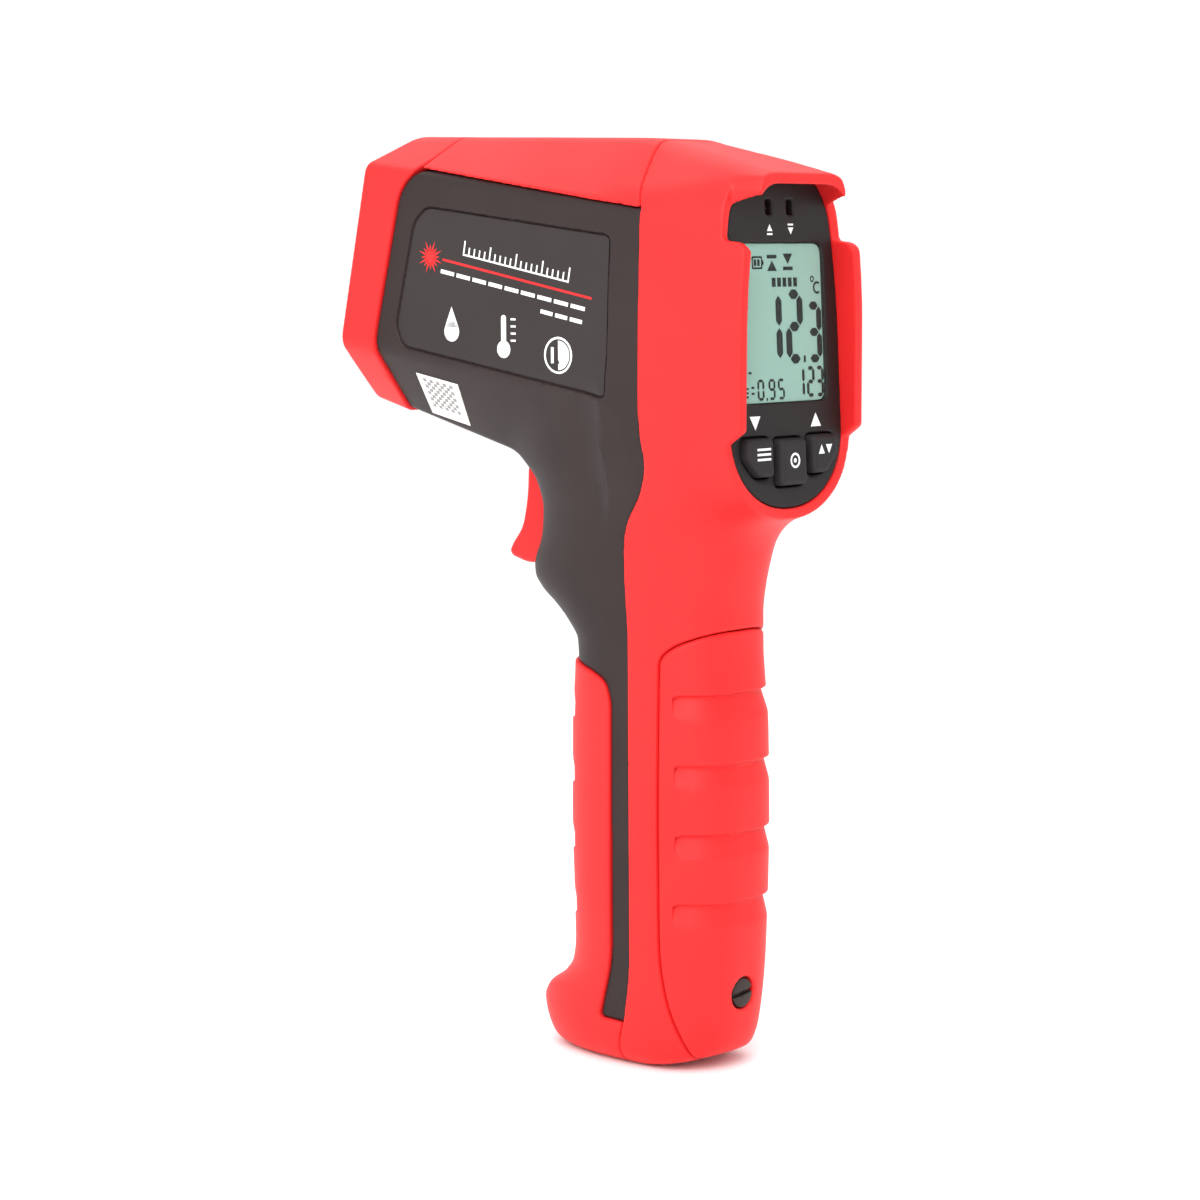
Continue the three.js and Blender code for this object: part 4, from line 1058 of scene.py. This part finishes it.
# Battery state, and a row of bars for a held reading.
reading += [bar(7.6, 184.5, 3.4, 0.4), bar(7.6, 182.1, 3.4, 0.4), bar(9.2, 183.3, 0.4, 2.4)]
reading += [bar(6.0, 183.3, 0.4, 2.4), bar(5.6, 183.3, 0.5, 1.0)]
reading += [bar(8.3, 183.3, 0.8, 1.4), bar(7.1, 183.3, 0.8, 1.4)]
reading += [bar(2.0 - 1.9 * i, 179.0, 1.3, 2.0) for i in range(5)]
segments = plates("lcd_segments", reading, on_face, LCD_FRONT - 0.01, LCD_FRONT + 0.05)
printed_on(segments, "ink_black", "housing")

printed = [arrow(11.2, 148.5, 3.7, -3.0), arrow(-10.3, 148.5, 3.7, 3.0)]
printed += [arrow(3.7, 190.9, 1.9, 1.5), bar(3.7, 189.5, 1.9, 0.4)]
printed += [arrow(-3.7, 190.2, 1.9, -1.5), bar(-3.7, 191.6, 1.9, 0.4)]
face_print = plates("face_print", printed, on_face, -0.02, 0.05)
printed_on(face_print, "ink_white", "housing")


def on_key(key):
    """Places marks on a key's hollow top."""
    return lambda x, z, out: on_face(x, z, key_top(key, x, z) + out)


KEY_MARKS = {
    "down_key": [bar(10.9, 142.9 - 1.1 * i, 4.6, 0.5) for i in range(3)],
    "set_key": ring_shapes(0, 140.0, 1.45, 0.5) + [disc(0, 140.0, 0.5)],
    "up_key": [arrow(-9.6, 142.0, 2.2, 2.0), arrow(-12.3, 142.0, 2.2, -2.0)],
}
for node, marks in KEY_MARKS.items():
    mark = plates(f"{node}_mark", marks, on_key(KEYS[node]), -0.03, 0.05)
    printed_on(mark, "ink_white", node)


# ---------------------------------------------------------------- side labels and sticker
def on_side(y, z, depth):
    """Points on the user's left of the body, mm below its outer surface."""
    low, high = np.full(len(y), 4.0), np.full(len(y), 34.0)
    for _ in range(26):
        middle = (low + high) / 2
        outside = body(middle, y, z) > -depth
        high, low = np.where(outside, middle, high), np.where(outside, low, middle)
    return np.stack([high, y, z], axis=-1)


def on_label(sign):
    """Places a graphic on the left label, or on the right one for a sign of -1."""
    return lambda y, z, out: on_side(y, z, LABEL_DEPTH - out) * (sign, 1, 1)


def on_sticker(y, z, out):
    return on_side(y, z, STICKER_DEPTH - out)


def grid_cells(corners, columns, rows):
    """Four-sided cells that fill a four-cornered outline, by bilinear division."""
    a, b, c, d = (np.array(p, float) for p in corners)

    def at(s, t):
        return (1 - t) * ((1 - s) * a + s * b) + t * ((1 - s) * d + s * c)

    cells = []
    for i in range(columns):
        for j in range(rows):
            s0, s1, t0, t1 = i / columns, (i + 1) / columns, j / rows, (j + 1) / rows
            cells.append([at(s0, t0), at(s1, t0), at(s1, t1), at(s0, t1)])
    return cells


def label_film(x, y, z):
    """The label on both sides at once: a thin sheet in the recess."""
    skin = body(x, y, z)
    sheet = np.maximum(skin + LABEL_DEPTH, -skin - LABEL_BACK)
    return smax(sheet, outline(LABEL_OUTLINE, y, z) + 0.35, 0.3)


for side, low, high, node in (
    ("left", (20, -62, 150), (28, 8, 198), "left_label"),
    ("right", (-28, -62, 150), (-20, 8, 198), "right_label"),
):
    film = moulded(f"{side}_label_skin", label_film, low, high, LABEL_VOXEL)
    stands_for(film, "label_film", "housing", node)

SLOPE = math.radians(-10.6)  # the printed line falls towards the user
LINE_Y, LINE_Z = -43.9, 184.0  # its forward end
BURST_Y, BURST_Z, BURST_TIPS = -48, 184.3, 16


def on_line(along, above):
    """A label point by its distance along the printed line and above it."""
    c, s = math.cos(SLOPE), math.sin(SLOPE)
    return LINE_Y + c * along - s * above, LINE_Z + s * along + c * above


def label_bar(along, above, width, height):
    return bar(*on_line(along, above), width, height, SLOPE)


burst = [disc(BURST_Y, BURST_Z, 1.7)]
for i in range(BURST_TIPS):
    turn, reach = 2 * math.pi * i / BURST_TIPS, 3.9 if i % 2 else 3.0
    spokes = [(turn - 0.22, 1.5), (turn, reach), (turn + 0.22, 1.5)]
    burst.append([(BURST_Y + r * math.cos(t), BURST_Z + r * math.sin(t)) for t, r in spokes])
burst.append(label_bar(22.6, -0.3, 45.6, 0.55))

marks = []
# A graduated scale above the line, taller at every fifth mark.
for i in range(21):
    tall = 3.0 if i % 5 == 0 else 1.7
    marks.append(label_bar(6.0 + 1.6 * i, 2.2 + tall / 2, 0.4, tall))
marks.append(label_bar(22.0, 2.0, 32.4, 0.4))
# Two plain rules below the line.
marks += [label_bar(1.8 + 5.0 * i, -3.0, 4.2, 0.9) for i in range(9)]
marks += [label_bar(33.0 + 4.4 * i, -6.0, 3.6, 0.9) for i in range(3)]
# Pictograms: a droplet, a bulb thermometer, and a sight with a filled half.
marks += [disc(-41.5, 167.3, 2.3), [(-43.6, 168.3), (-39.4, 168.3), (-41.5, 173.0)]]
marks += [disc(-25.5, 163.6, 2.0), bar(-25.5, 167.4, 1.5, 6.4), disc(-25.5, 170.6, 0.75)]
marks += [bar(-22.6, 165.6 + 1.6 * i, 1.5, 0.45) for i in range(4)]
marks += ring_shapes(-9.2, 162.6, 3.9, 0.5)
half_turn = np.linspace(-math.pi / 2, math.pi / 2, 15)
half = [(-9.2 + 3.3 * math.cos(t), 162.6 + 3.3 * math.sin(t)) for t in half_turn]
marks += [half, bar(-10.9, 162.6, 0.8, 3.6)]

for name, shapes, ink in (("label_burst", burst, "ink_red"), ("label_marks", marks, "ink_white")):
    for side, sign in (("left", 1), ("right", -1)):
        graphic = plates(f"{side}_{name}", shapes, on_label(sign), -0.04, 0.04)
        printed_on(graphic, ink, "housing")

STICKER = [(-56.3, 157.4), (-43.3, 155.0), (-46.9, 144.9), (-59.6, 147.5)]
paper = plates("sticker_skin", grid_cells(STICKER, 10, 8), on_sticker, -0.1, 0.1)
stands_for(paper, "sticker_paper", "housing", "sticker")
print_area = [(-54.9, 156.2), (-45.6, 154.5), (-48.2, 147.4), (-57.3, 149.2)]
cells = grid_cells(print_area, 9, 9)
checks = [cell for i, cell in enumerate(cells) if i % 2 == 0]
sticker_print = plates("sticker_print", checks, on_sticker, 0.09, 0.13)
printed_on(sticker_print, "ink_grey", "housing")


# ---------------------------------------------------------------- camera, light and floor
def area_light(name, place, target, size, power):
    data = bpy.data.lights.new(name, "AREA")
    data.shape = "DISK"
    data.size = size
    data.energy = power
    light = bpy.data.objects.new(name, data)
    light.location = place
    light.rotation_euler = (Vector(target) - Vector(place)).to_track_quat("-Z", "Y").to_euler()
    bpy.context.scene.collection.objects.link(light)


# The view is of the user's left side and the display, from a little above.
VIEW_TURN, VIEW_RISE, VIEW_REACH = math.radians(48.5), math.radians(6.5), 0.74
TARGET = Vector((0, -0.019, 0.1047))
level = math.cos(VIEW_RISE)
towards_camera = Vector((math.sin(VIEW_TURN) * level, math.cos(VIEW_TURN) * level, math.sin(VIEW_RISE)))
camera_data = bpy.data.cameras.new("camera")
camera_data.lens = 95.1
camera_data.sensor_width = 36
camera_data.clip_start = 0.01
camera = bpy.data.objects.new("camera", camera_data)
camera.location = TARGET + towards_camera * VIEW_REACH
camera.rotation_euler = (-towards_camera).to_track_quat("-Z", "Y").to_euler()
bpy.context.scene.collection.objects.link(camera)
bpy.context.scene.camera = camera

area_light("key_light", (0.70, 0.45, 0.70), (0, 0, 0.12), 0.8, 9)
area_light("side_light", (0.95, -0.45, 0.3), (0, 0, 0.12), 0.8, 1.5)
area_light("top_light", (-0.2, -0.2, 1.0), (0, 0, 0.12), 0.9, 3)

world = bpy.data.worlds.new("studio")
world.use_nodes = True
world.node_tree.nodes["Background"].inputs["Color"].default_value = (1, 1, 1, 1)
world.node_tree.nodes["Background"].inputs["Strength"].default_value = 1.04
bpy.context.scene.world = world
bpy.context.scene.view_settings.view_transform = "Standard"

floor_points = [Vector((x, y, 0)) for x, y in [(-6, -6), (6, -6), (6, 6), (-6, 6)]]
floor = new_object("floor", floor_points, [(0, 1, 2, 3)])
floor.data.materials.append(materials["floor_paper"])
